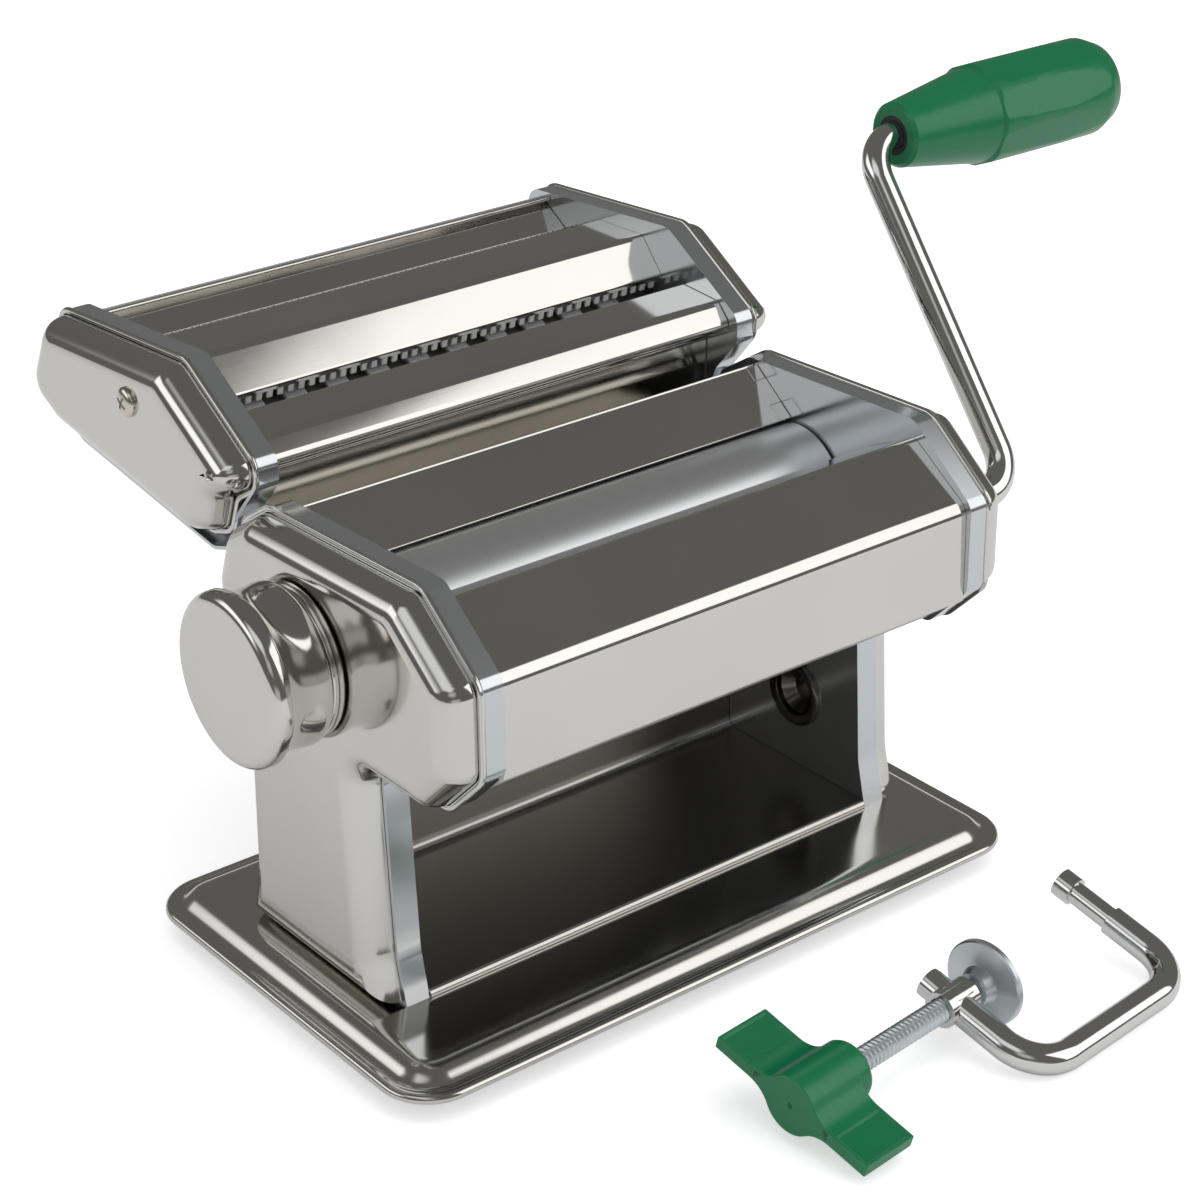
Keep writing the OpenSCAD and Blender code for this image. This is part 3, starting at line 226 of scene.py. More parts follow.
def zinc(name, base=(0.74, 0.79, 0.82)):
    """Zinc plate: cool, slightly milky, with a fine crystalline mottle."""
    f = Finish(name, 1.0)
    mottle, cloud = f.noise(420, 4, 0.65), f.noise(60, 2, 0.5)
    f.set("Base Color", f.mixed(mottle, shade(base, 0.86), shade(base, 1.1)))
    f.set("Roughness", 0.27 + 0.14 * mottle + 0.05 * cloud)
    f.set("Normal", f.bump(mottle, 0.00001))
    return f.material


def turned_alloy(name, base=(0.8, 0.82, 0.84)):
    """Satin roller: hair-fine rings from turning, all the way along."""
    f = Finish(name, 0.95)
    rings, cloud = f.noise(1, 2, 0.5, f.stretched(9000, 3, 3)), f.noise(30, 2, 0.5)
    f.set("Base Color", f.mixed(rings, shade(base, 0.97), shade(base, 1.02)))
    f.set("Roughness", 0.31 + 0.04 * rings + 0.04 * cloud)
    f.set("Normal", f.bump(rings, 0.000001))
    return f.material


def cutter_alloy(name, hub, count, base=(0.95, 0.96, 0.97), groove=(0.2, 0.195, 0.18)):
    """Cutting roller: bright rings with fine lines rolled across them, and painted shade that
    darkens the grooves between.
    """
    f = Finish(name, 0.3)
    y, z = f.axis("Y") - hub[0] * MM, f.axis("Z") - hub[1] * MM
    ring = ((y * y + z * z).root() / MM).between(7.6, 8.6)
    rolled = (y.turn_to(z) * count).sine().between(-0.2, 0.5)
    bright = f.mixed(rolled, shade(base, 0.8), base)
    # painted shade: the grooves, inside the rings' radius, are coloured dark
    f.set("Base Color", f.mixed(ring, groove, bright))
    f.set("Roughness", 0.42 - 0.1 * ring + 0.08 * f.noise(90, 3, 0.6))
    f.set("Normal", f.bump(rolled, 0.00003))
    return f.material


def matt_steel(name, base=(0.9, 0.9, 0.88)):
    """Blanked comb steel, left matt: pale grey, with a light mottle."""
    f = Finish(name, 0.3)
    mottle = f.noise(500, 3, 0.6)
    f.set("Base Color", f.mixed(mottle, shade(base, 0.8), base))
    f.set("Roughness", 0.42 + 0.1 * mottle)
    f.set("Normal", f.bump(mottle, 0.00002))
    return f.material


def nickel(name, base=(0.7, 0.66, 0.58)):
    """Nickel-plated screw heads: warm, with a light haze from handling."""
    f = Finish(name, 1.0)
    haze = f.noise(300, 3, 0.6)
    f.set("Base Color", f.mixed(haze, shade(base, 0.88), base))
    f.set("Roughness", 0.14 + 0.1 * haze)
    f.set("Normal", f.bump(haze, 0.00001))
    return f.material


def sheared_steel(name, base=(0.5, 0.5, 0.49)):
    """Plain steel that is cut, milled or sheared: duller, with a fine grain along it."""
    f = Finish(name, 1.0)
    grain, cloud = f.noise(1, 3, 0.6, f.stretched(300, 1900, 1900)), f.noise(70, 3, 0.6)
    f.set("Base Color", f.mixed(cloud, shade(base, 0.85), base))
    f.set("Roughness", 0.24 + 0.12 * grain + 0.06 * cloud)
    f.set("Normal", f.bump(grain, 0.00002))
    return f.material


def green_plastic(name, base=(0.0, 0.165, 0.06)):
    """Moulded green plastic: satin gloss, faint orange peel, paler where hands have rubbed it."""
    f = Finish(name)
    f.set("IOR", 1.5)
    peel, cloud = f.noise(900, 3, 0.6), f.noise(45, 3, 0.55)
    rubbed = f.edges(0.0009, 0.12) * f.noise(160, 3, 0.6).between(0.42, 0.7)
    moulded = f.mixed(cloud, shade(base, 0.9), shade(base, 1.12, 0.002))
    f.set("Base Color", f.mixed(rubbed * 0.5, moulded, shade(base, 1.8, 0.03)))
    f.set("Roughness", 0.22 + 0.1 * cloud + 0.05 * peel + 0.12 * rubbed)
    f.set("Normal", f.bump(peel, 0.00002))
    return f.material


def black_rubber(name):
    """Moulded black rubber: matt, with a fine grain."""
    f = Finish(name)
    grain = f.noise(1500, 3, 0.6)
    f.set("Base Color", f.mixed(grain, (0.012, 0.012, 0.013), (0.03, 0.03, 0.032)))
    f.set("Roughness", 0.55 + 0.2 * grain)
    f.set("Normal", f.bump(grain, 0.00004))
    return f.material


SHEET = polished_sheet("polished_sheet")
BASE_SHEET = polished_sheet("base_sheet", (0.64, 0.625, 0.595), 0.13)
FRAME = polished_sheet("frame_sheet", (0.61, 0.635, 0.66), 0.13, 0.92)
# painted shade: the clamp socket's sheet is coloured near black for the shade inside its hole
SHADED_SOCKET = polished_sheet("clamp_socket_sheet", (0.16, 0.15, 0.14), 0.2)
TRAY = dull_tray_painted_shade("catch_tray_sheet")
CHROME = chrome("bright_chrome")
ZINC = zinc("zinc_plate")
ALLOY = turned_alloy("turned_alloy")
PLAIN = sheared_steel("sheared_steel")
TEETH = matt_steel("comb_teeth")
NICKEL = nickel("nickel_plate")
GREEN = green_plastic("green_plastic")
RUBBER = black_rubber("black_rubber")

COVERS = """base_plate left_cover right_cover front_cover rear_cover hopper_plate cutter_left_cover
    cutter_right_cover cutter_front_cover cutter_middle_cover cutter_rear_guide
    cutter_rear_cover""".split()
FRAMES = "left_frame right_frame cutter_left_frame cutter_right_frame".split()
ROLLERS = ["front_roller", "rear_roller"]
CUTTERS = [("wide_cutter_front", WIDE_HUB, 110), ("wide_cutter_rear", WIDE_REAR, 110),
           ("fine_cutter_front", FINE_HUB, 90), ("fine_cutter_rear", FINE_REAR, 90)]
INNER = """drive_gear rear_gear wide_gear_front wide_gear_rear fine_gear_front fine_gear_rear
    roller_scrapers wide_combs fine_combs tie_rods cutter_tie_rods front_bushes rear_bushes
    cutter_bushes knob_spring""".split()


def dress(names, material):
    """Gives parts one material."""
    for name in names:
        NODES[name].data.materials.clear()
        NODES[name].data.materials.append(material)


dress(COVERS + ["index_ring", "knob_body", "knob_cap"], SHEET)
dress(FRAMES, FRAME)
dress(["catch_tray"], TRAY)
dress(["clamp_socket"], SHADED_SOCKET)
dress(INNER + ["cutter_rails", "cutter_tongues", "knob_spindle"], PLAIN)
dress(["frame_screws", "cutter_cap_screws", "clamp_screw", "clamp_pad"], ZINC)
dress(ROLLERS, ALLOY)
dress(["crank_handle", "clamp_frame"], CHROME)
dress(["crank_grip", "clamp_wing"], GREEN)
dress(["rubber_feet", "grip_bush"], RUBBER)
for name, hub, lines in CUTTERS:
    dress([name], cutter_alloy(name + "_alloy", hub, lines))


# ---- rounded edges and smooth curves ------------------------------------------------

def node_group(name):
    """Empty geometry node group, as its nodes and the mesh that comes in."""
    group = bpy.data.node_groups.new(name, "GeometryNodeTree")
    for way in ("INPUT", "OUTPUT"):
        group.interface.new_socket("Geometry", in_out=way, socket_type="NodeSocketGeometry")
    nodes = Nodes(group)
    return nodes, nodes.add("NodeGroupInput").out()


def joined_group():
    """Joins the faces of a part at their shared edges and drops their old shading."""
    nodes, part = node_group("joined_faces")
    part = nodes.add("GeometryNodeMergeByDistance", None, {"Geometry": part, "Distance": 2e-6})
    part = nodes.add("GeometryNodeRemoveAttribute", None,
                     {"Geometry": part.out(), "Name": "custom_normal"})
    nodes.add("NodeGroupOutput", None, {"Geometry": part.out()})
    return nodes.tree


def smooth_group(sharp):
    """Shades a mesh smooth except over edges sharper than an angle."""
    nodes, part = node_group("smooth_faces")
    turn = nodes.add("GeometryNodeInputMeshEdgeAngle").out("Unsigned Angle")
    soft = nodes.add("FunctionNodeCompare", {"operation": "LESS_EQUAL"}, {"A": turn, "B": sharp})
    part = nodes.add("GeometryNodeSetShadeSmooth", {"domain": "FACE"}, {"Geometry": part})
    part = nodes.add("GeometryNodeSetShadeSmooth", {"domain": "EDGE"},
                     {"Geometry": part.out(), "Shade Smooth": soft.out()})
    nodes.add("NodeGroupOutput", None, {"Geometry": part.out()})
    return nodes.tree


JOINED = joined_group()
SMOOTH = smooth_group(math.radians(34))


def soften(piece, edge=0.0, limit=40):
    """Smooth shading, with edges sharper than the limit in degrees rounded by a few tenths."""
    piece.modifiers.new("joined", "NODES").node_group = JOINED
    if edge:
        bevel = piece.modifiers.new("edges", "BEVEL")
        bevel.width, bevel.segments = edge * MM, 3
        bevel.limit_method, bevel.angle_limit = "ANGLE", math.radians(limit)
        bevel.use_clamp_overlap = True
    piece.modifiers.new("smooth", "NODES").node_group = SMOOTH
    weigh = piece.modifiers.new("flats", "WEIGHTED_NORMAL")
    weigh.mode, weigh.keep_sharp = "FACE_AREA_WITH_ANGLE", True
    return piece


# Edge radius in millimetres, and the parts that have it.
EDGES = [
    (0.25, COVERS + FRAMES + ["catch_tray"]),
    (0.35, "index_ring clamp_pad clamp_screw crank_handle cutter_rails knob_spindle".split()),
    (0.6, "clamp_wing crank_grip rubber_feet knob_body knob_cap clamp_frame".split()),
    (0.15, ROLLERS + "frame_screws cutter_cap_screws clamp_socket cutter_tongues".split()),
    (0.0, INNER + [name for name, _, _ in CUTTERS] + ["grip_bush"]),
]
for radius, names in EDGES:
    for name in names:
        soften(NODES[name], radius)


# ---- mesh helpers ---------------------------------------------------------------------

def round_steps(count):
    """Angles of points evenly spaced round a circle."""
    return [TURN * k / count for k in range(count)]


def swung(run, angle):
    """A flat vector turned anticlockwise."""
    return Vector((run.x * math.cos(angle) - run.y * math.sin(angle),
                   run.x * math.sin(angle) + run.y * math.cos(angle)))


def arc(middle, radius, start, end, steps):
    """Points on an arc about its middle, from one angle to another in degrees."""
    turns = (math.radians(start + (end - start) * k / steps) for k in range(steps + 1))
    return [(middle[0] + radius * math.cos(a), middle[1] + radius * math.sin(a)) for a in turns]


def skin(bm, rings, closed=False, flip=False):
    """Faces from each ring of points to the next, and back to the first where closed."""
    for low, high in zip(rings, rings[1:] + rings[:1] if closed else rings[1:]):
        for k in range(len(low)):
            n = (k + 1) % len(low)
            face = (low[k], low[n], high[n], high[k])
            bm.faces.new(face[::-1] if flip else face)


def capped(bm, rings):
    """Closes both ends of a row of rings."""
    bm.faces.new(rings[0])
    bm.faces.new(rings[-1])


def peg(bm, middle, radius, length, sides):
    """Round peg along X about its middle, in millimetres."""
    place = Matrix.Translation([c * MM for c in middle]) @ Matrix.Rotation(math.pi / 2, 4, "Y")
    bmesh.ops.create_cone(bm, segments=sides, radius1=radius * MM, radius2=radius * MM,
                          depth=length * MM, cap_ends=True, matrix=place)


def mesh_of(name, bm):
    """Mesh from a finished bmesh, which is freed."""
    mesh = bpy.data.meshes.new(name)
    bm.to_mesh(mesh)
    bm.free()
    return mesh


def placed(name, data):
    """Object that shows a mesh, a lamp or a camera, in the scene."""
    made = bpy.data.objects.new(name, data)
    bpy.context.scene.collection.objects.link(made)
    return made


def thicken(piece, sheet):
    """Gives an open skin its sheet thickness in millimetres, inwards."""
    thick = piece.modifiers.new("sheet", "SOLIDIFY")
    thick.thickness, thick.offset = sheet * MM, -1


def claim(piece, body, replaced=()):
    """Rides a piece on a body, and hides the parts that it stands for."""
    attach(piece, body)
    if replaced:
        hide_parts(*replaced)
    return piece


def new_piece(name, bm, body, material, replaced=(), outward=True):
    """Piece from a finished bmesh."""
    if outward:
        bmesh.ops.recalc_face_normals(bm, faces=bm.faces)
    piece = placed(name, mesh_of(name, bm))
    piece.data.materials.append(material)
    return claim(piece, body, replaced)


# ---- drawn covers and rolled lips -----------------------------------------------------

def corner_points(outline, inset, least, steps=9):
    """Points round an outline of (y, z, radius) corners that is moved in by inset.

    The radius shrinks with the inset, but not below the least, and grows at a re-entrant corner.
    """
    count, points = len(outline), []
    moved = []
    for i in range(count):
        before, here, after = (Vector(outline[(i + k) % count][:2]) for k in (-1, 0, 1))
        one, two = (here - before).normalized(), (after - here).normalized()
        sides = [Vector((-e.y, e.x)) for e in (one, two)]
        re_entrant = one.x * two.y - one.y * two.x < 0
        radius = outline[i][2]
        if radius:
            radius = radius + inset if re_entrant else max(least, radius - inset)
        corner = here + inset * (sides[0] + sides[1]) / (1 + sides[0].dot(sides[1]))
        moved.append((corner, radius))
    for i in range(count):
        (before, _), (here, radius), (after, _) = (moved[(i + k) % count] for k in (-1, 0, 1))
        if radius == 0:
            points.append(here)
            continue
        back, on = before - here, after - here
        half = back.angle(on) / 2
        reach = min(radius / math.tan(half), 0.48 * back.length, 0.48 * on.length)
        radius = reach * math.tan(half)
        inner = (back.normalized() + on.normalized()).normalized()
        middle = here + inner * radius / math.sin(half)
        start = here + back.normalized() * reach - middle
        end = here + on.normalized() * reach - middle
        turn = start.angle_signed(end)
        points += [middle + swung(start, -turn * k / steps) for k in range(steps + 1)]
    return points


# Outlines in millimetres as (y, z, radius), anticlockwise as seen from the crank's side.
HEAD = [(y, z + RIM, r) for y, z, r in [
    (-29.5, 5.7, 0), (34, 5.7, 0), (29.5, 25, 30), (28, 75, 7), (38, 87, 7), (38, 105, 7),
    (33.5, 117.5, 7), (22, 124.8, 7), (-42.5, 127, 7), (-64.5, 109.8, 7), (-64.5, 85.5, 7),
    (-51, 72, 6), (-23.5, 72, 5), (-26.4, 19, 20)]]
CUTTER = [(y + UNIT_Y, z + UNIT_Z, r) for y, z, r in [
    (22, -44.3, 7), (87, -35.8, 7), (104, -27.8, 8), (92.5, -4.3, 7), (30, 0, 6), (0, -18.3, 6),
    (0, -25.3, 5), (9, -30.8, 5), (13, -41.3, 6)]]

# Section of a cover from its mouth to the flat face: distance from the middle, and how far it is
# drawn in.
SECTION = [(76.5, 1.15), (81.6, 1.17), (82.6, 1.22), (83.6, 1.34), (84.6, 1.56), (85.5, 1.86),
    (86.3, 2.22), (87.0, 2.64), (87.6, 3.1), (88.15, 3.62), (88.65, 4.2), (89.1, 4.85),
    (89.45, 5.55), (89.72, 6.3), (89.9, 7.1), (90.0, 8.2)]
COVER_SHEET = 0.9
LIP_PLACE = 80.95                               # a lip's bead, from the middle of the head


def bore_through(piece, holes, hand):
    """Cuts round holes (y, z, radius) through the flat face and the edge round it."""
    drills = bmesh.new()
    for y, z, radius in holes:
        peg(drills, (hand * 92, y, z), radius, length=16, sides=72)
    tool = placed("drills", mesh_of("drills", drills))
    cut = piece.modifiers.new("holes", "BOOLEAN")
    cut.operation, cut.object, cut.solver = "DIFFERENCE", tool, "EXACT"
    shown = piece.evaluated_get(bpy.context.evaluated_depsgraph_get())
    bored = bpy.data.meshes.new_from_object(shown)
    piece.modifiers.clear()
    piece.data = bored
    bpy.data.meshes.remove(tool.data)


def drawn_cover(name, outline, holes, hand, body, node):
    """Sheet cover lofted over its outline, with round holes in the flat face."""
    bm, rings = bmesh.new(), []
    for x, inset in SECTION:
        points = corner_points(outline, inset, 5.0)
        rings.append([bm.verts.new((hand * x * MM, p.x * MM, p.y * MM)) for p in points])
    skin(bm, rings, flip=hand < 0)
    bm.faces.new(rings[-1] if hand > 0 else rings[-1][::-1])
    piece = placed(name, mesh_of(name, bm))
    thicken(piece, COVER_SHEET)
    bore_through(piece, holes, hand)
    piece.data.materials.clear()
    piece.data.materials.append(SHEET)
    return claim(soften(piece), body, [node])


def rolled_lip(name, outline, hand, body, lowest=None, inset=0.1, radius=0.8, sides=14):
    """Round bead along the rim of a side frame, whole or only above a height in millimetres."""
    path = corner_points(outline, inset, 3.0)
    whole = lowest is None
    if not whole:
        start = next(i for i in range(len(path)) if path[i - 1].y < lowest <= path[i].y)
        path = [p for p in path[start:] + path[:start] if p.y >= lowest]
    bm, rings = bmesh.new(), []
    for i, here in enumerate(path):
        before = path[i - 1] if i or whole else here
        after = path[(i + 1) % len(path)] if i + 1 < len(path) or whole else here
        run = (after - before).normalized()
        side = Vector((run.y, -run.x))
        rings.append([bm.verts.new((hand * (LIP_PLACE + radius * math.cos(a)) * MM,
                                    (here.x + side.x * radius * math.sin(a)) * MM,
                                    (here.y + side.y * radius * math.sin(a)) * MM))
                      for a in round_steps(sides)])
    skin(bm, rings, closed=whole)
    if not whole:
        capped(bm, rings)
    return soften(new_piece(name, bm, body, SHEET))


SCREW_HOLE = (*CAP_SCREW, 1.9)
drawn_cover("left_side_cover", HEAD, [(0, AXLE, 4.9)], -1, "machine", "left_cover")
drawn_cover("right_side_cover", HEAD, [(-37.7, AXLE, 8.2), (0, RIM + 30.2, 8.5)], 1,
            "machine", "right_cover")
drawn_cover("cutter_left_side_cover", CUTTER, [SCREW_HOLE], -1, "cutter_unit",
            "cutter_left_cover")
drawn_cover("cutter_right_side_cover", CUTTER, [SCREW_HOLE, (*WIDE_HUB, 7.2), (*FINE_HUB, 7.2)],
            1, "cutter_unit", "cutter_right_cover")
for hand, side in ((-1, "left"), (1, "right")):
    rolled_lip(side + "_rolled_lip", HEAD, hand, "machine", lowest=RIM + 70)
    rolled_lip("cutter_" + side + "_rolled_lip", CUTTER, hand, "cutter_unit")


# ---- knob -------------------------------------------------------------------------------

def turned(profile, axis, hand=1, steps=120):
    """Solid turned about an axis along X, from (radius, distance out) pairs in millimetres."""
    bm = bmesh.new()
    points = [bm.verts.new((hand * x * MM, axis[0] * MM, (axis[1] + r) * MM)) for r, x in profile]
    edges = [bm.edges.new(pair) for pair in zip(points, points[1:])]
    if profile[0][0] > 0:
        edges.append(bm.edges.new((points[-1], points[0])))
    bmesh.ops.spin(bm, geom=points + edges, cent=(0, axis[0] * MM, axis[1] * MM), axis=(1, 0, 0),
                   angle=TURN, steps=steps, use_merge=True)
    bmesh.ops.remove_doubles(bm, verts=bm.verts, dist=1e-7)
    return bm


KNOB = (0.0, AXLE)
CAP_PROFILE = [(0, 108.4), (19.5, 108.4), (19.55, 105.02), (22.2, 105.02), (22.42, 105.12),
    (22.5, 105.35), (22.49, 106.2), *arc((19.2, 106.6), 3.26, 3, 80, 14), (18.6, 109.88),
    (16.5, 109.95), (12, 109.99), (6, 110.0), (0, 110.0)]
BODY_PROFILE = [(4.55, 92.3), (19.9, 92.3), (20.5, 92.4), (20.8, 92.7), (20.92, 93.2),
    (20.9, 94.2), (20.78, 95.4), (20.62, 96.6), (20.5, 97.8), (20.45, 99.0), (20.5, 100.2),
    (20.68, 101.4), (21.0, 102.5), (21.4, 103.4), (21.75, 104.05), (21.95, 104.5),
    (21.95, 104.75), (21.75, 104.9), (19.5, 104.9), (19.5, 106.45), (7.7, 106.45), (7.7, 98.0),
    (4.55, 98.0)]
knob_cap = turned(CAP_PROFILE, KNOB, -1)
knob_body = turned(BODY_PROFILE, KNOB, -1)
peg(knob_body, (-91.7, 0, AXLE + 14.5), 1.2, 1.4, 24)       # stop pin, in the ring's track
soften(new_piece("knob_face", knob_cap, "knob", SHEET, ["knob_cap"]))
soften(new_piece("knob_waist", knob_body, "knob", SHEET, ["knob_body"]))


def coil_spring(turns=2.8, coil=6.1, wire=0.8, start=99.0, end=104.1, steps=40, sides=10):
    """Spring in the knob's pocket, wound round the spindle."""
    bm, rings = bmesh.new(), []
    count = round(turns * steps)
    for i in range(count + 1):
        a, x = TURN * turns * i / count, start + (end - start) * i / count
        out = Vector((0, math.cos(a), math.sin(a)))
        rings.append([bm.verts.new(Vector((-x - wire * math.sin(b), 0, AXLE)) * MM
                                   + out * (coil + wire * math.cos(b)) * MM)
                      for b in round_steps(sides)])
    skin(bm, rings)
    capped(bm, rings)
    return bm


spring = new_piece("wound_spring", coil_spring(), "knob", PLAIN, ["knob_spring"])
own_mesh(spring)


# ---- screws -----------------------------------------------------------------------------

def cross_head(bm, middle, hand, radius=4.0, rise=2.0, turn=math.radians(30), rows=26, cols=72):
    """Domed screw head with a cross recess, standing on the cover at the middle (x, y, z)."""
    x, y, z = middle
    half_slot, slot_reach, slot_depth = 0.52, 2.3, 0.95

    def point(r, a):
        u, v = abs(r * math.cos(a - turn)), abs(r * math.sin(a - turn))
        arm = min(1, max(0, (half_slot - min(u, v)) / 0.16))
        arm *= min(1, max(0, (slot_reach - max(u, v)) / 0.35))
        dome = rise * math.sqrt(max(0, 1 - (r / (radius * 1.02)) ** 2.4))
        return bm.verts.new((hand * (x + dome - slot_depth * arm) * MM,
                             (y + r * math.cos(a)) * MM, (z + r * math.sin(a)) * MM))

    centre = point(0, 0)
    rings = [[point(radius * i / rows, a) for a in round_steps(cols)] for i in range(1, rows + 1)]
    rings.append([bm.verts.new((hand * (x - 0.02) * MM, v.co.y, v.co.z)) for v in rings[-1]])
    for k in range(cols):
        bm.faces.new((centre, rings[0][k], rings[0][(k + 1) % cols]))
    skin(bm, rings, flip=True)
    bm.faces.new(rings[-1])


for hand, side in ((-1, "left"), (1, "right")):
    heads = bmesh.new()
    cross_head(heads, (90.05, *CAP_SCREW), hand)
    soften(new_piece(side + "_cap_screw_head", heads, "cutter_unit", NICKEL))

# The clamp lies on its bent rod and its wing, so it leans up to its screw and is turned a little.
ROD_RADIUS, SCREW_HEIGHT, SCREW_REACH = 4, 11.65, 28.7
CLAMP_X, CLAMP_Y, CLAMP_TURN = 28.5, -141.4, math.radians(6.1)
CLAMP_LEAN = math.asin((SCREW_HEIGHT - ROD_RADIUS) / SCREW_REACH)
IN_CLAMP = (Matrix.Translation((CLAMP_X * MM, CLAMP_Y * MM, ROD_RADIUS * MM))
            @ Matrix.Rotation(CLAMP_TURN, 4, "Z") @ Matrix.Rotation(CLAMP_LEAN, 4, "X")
            @ Matrix.Translation((0, SCREW_REACH * MM, 0)))


def threaded_rod(pitch=1.5, radius=3.2, depth=0.72, back=-54.0, end=7.0, sides=36):
    """Clamp screw: rolled thread with rounded crests, then the neck and head that hold the pad."""
    bm, rings = bmesh.new(), []
    steps = round((end - back) / pitch * 10)
    run_out, angles = 1.2, round_steps(sides)

    def ring(x, radii):
        rings.append([bm.verts.new((x * MM, r * math.cos(a) * MM, r * math.sin(a) * MM))
                      for r, a in zip(radii, angles)])

    for i in range(steps + 1):
        x = back + (end - back) * i / steps
        fade = min(1, (x - back) / run_out, (end - x) / run_out)
        waves = [0.5 - 0.5 * math.cos(TURN * (x / pitch - a / TURN)) for a in angles]
        ring(x, [radius - depth * (wave ** 1.3) * fade - 0.5 * (1 - fade) for wave in waves])
    for x, r in ((7.0, 2.4), (11.3, 2.4), (11.3, 3.0), (11.9, 3.0)):
        ring(x, [r] * sides)
    skin(bm, rings)
    capped(bm, rings)
    bmesh.ops.transform(bm, matrix=IN_CLAMP, verts=bm.verts)
    return bm


soften(new_piece("threaded_rod", threaded_rod(), "clamp_screw", ZINC,
                 ["clamp_screw"]))


# ---- folded sheets ------------------------------------------------------------------------

def bent_strip(points, sheet=1.0, steps=8, tightest=0.15):
    """Closed outline of a folded sheet from (y, z, radius) corners.

    Its thickness is laid to the left of the run.
    """
    flat = [Vector(p[:2]) for p in points]
    runs = [(b - a).normalized() for a, b in zip(flat, flat[1:])]
    sides = [Vector((-r.y, r.x)) for r in runs]
    faces = ([], [])
    for i, p in enumerate(flat):
        if i in (0, len(flat) - 1):
            side = sides[0 if i == 0 else -1]
            faces[0].append(p)
            faces[1].append(p + side * sheet)
            continue
        one, two = runs[i - 1], runs[i]
        turn = one.x * two.y - one.y * two.x
        mitre = (sides[i - 1] + sides[i]) / (1 + sides[i - 1].dot(sides[i]))
        half = (math.pi - one.angle(two)) / 2
        for face, moved in ((0, p), (1, p + mitre * sheet)):
            radius = max(tightest, points[i][2] - face * math.copysign(sheet, turn))
            reach = radius / math.tan(half)
            middle = moved + (two - one).normalized() * radius / math.sin(half)
            start, end = moved - one * reach - middle, moved + two * reach - middle
            swing = start.angle_signed(end)
            faces[face].extend(middle + swung(start, -swing * k / steps)
                               for k in range(steps + 1))
    return faces[0] + faces[1][::-1]


def drawn_out(bm, outline, low, high):
    """Solid drawn along X from a closed (y, z) outline in millimetres."""
    ends = [[bm.verts.new((x * MM, p[0] * MM, p[1] * MM)) for p in outline] for x in (low, high)]
    skin(bm, ends)
    bm.faces.new(ends[0])
    bm.faces.new(ends[1][::-1])


def in_unit(points):
    """Points measured from the front and top of the cutter unit."""
    return [(p[0] + UNIT_Y, p[1] + UNIT_Z, *p[2:]) for p in points]


def folded_sheet(name, points, body, node, half_width=74.4):
    """Folded sheet that spans the space between the side frames."""
    bm = bmesh.new()
    drawn_out(bm, bent_strip(points), -half_width, half_width)
    piece = new_piece(name, bm, body, SHEET, [node])
    return soften(piece, limit=60)


FRONT_SHEET = [(-26.5, RIM + 114.3), (-43.0, RIM + 122.3, 3), (-62.8, RIM + 108.9, 5),
               (-63.3, RIM + 82.6, 0.9), (-61.6, RIM + 82.2)]
BRIDGE_SHEET = [(64, -11.8), (61.5, -5.8, 2), (41, -5.1, 3), (32.6, -14.7, 1.2), (32.85, -16.0)]
folded_sheet("front_apron", FRONT_SHEET, "machine", "front_cover")
folded_sheet("cutter_bridge", in_unit(BRIDGE_SHEET), "cutter_unit", "cutter_middle_cover")

# Section of the base from its foot to the flat top: how far in from the outline, and height above
# the foot.
BASE_SECTION = [(0.35, 0.0), (0.08, 0.25), (0.0, 0.6), (0.02, 1.0), (0.18, 1.5), (0.5, 1.9),
    (0.95, 2.15), (1.5, 2.24), (2.1, 2.18), (2.7, 2.02), (3.2, 1.93), (3.8, 2.0), (4.5, 2.32),
    (5.2, 2.83), (5.9, 3.41), (6.6, 3.99), (7.3, 4.5), (8.0, 4.91), (8.8, 5.24), (9.7, 5.49),
    (10.8, 5.64), (12.0, 5.7)]
BASE_HALF_X, BASE_HALF_Y, BASE_CORNER, BASE_THICKNESS = 102.5, 62.75, 14.4, 1.0


def pressed_base():
    """Base sheet pressed over its outline: rolled rim, shallow groove and a soft shoulder up."""
    bm, rings = bmesh.new(), []
    for inset, rise in BASE_SECTION:
        radius, ring = BASE_CORNER - inset, []
        for cx, cy, first in ((1, 1, 0), (-1, 1, 90), (-1, -1, 180), (1, -1, 270)):
            for a in map(math.radians, range(first, first + 91, 5)):
                x = cx * (BASE_HALF_X - BASE_CORNER) + radius * math.cos(a)
                y = cy * (BASE_HALF_Y - BASE_CORNER) + radius * math.sin(a)
                ring.append(bm.verts.new((x * MM, y * MM, (RIM + rise) * MM)))
        rings.append(ring)
    skin(bm, rings)
    bm.faces.new(rings[-1])
    piece = new_piece("pressed_base", bm, "machine", BASE_SHEET,
                      ["base_plate"], outward=False)
    thicken(piece, BASE_THICKNESS)
    return soften(piece)


pressed_base()


# ---- clamp's wing -------------------------------------------------------------------------

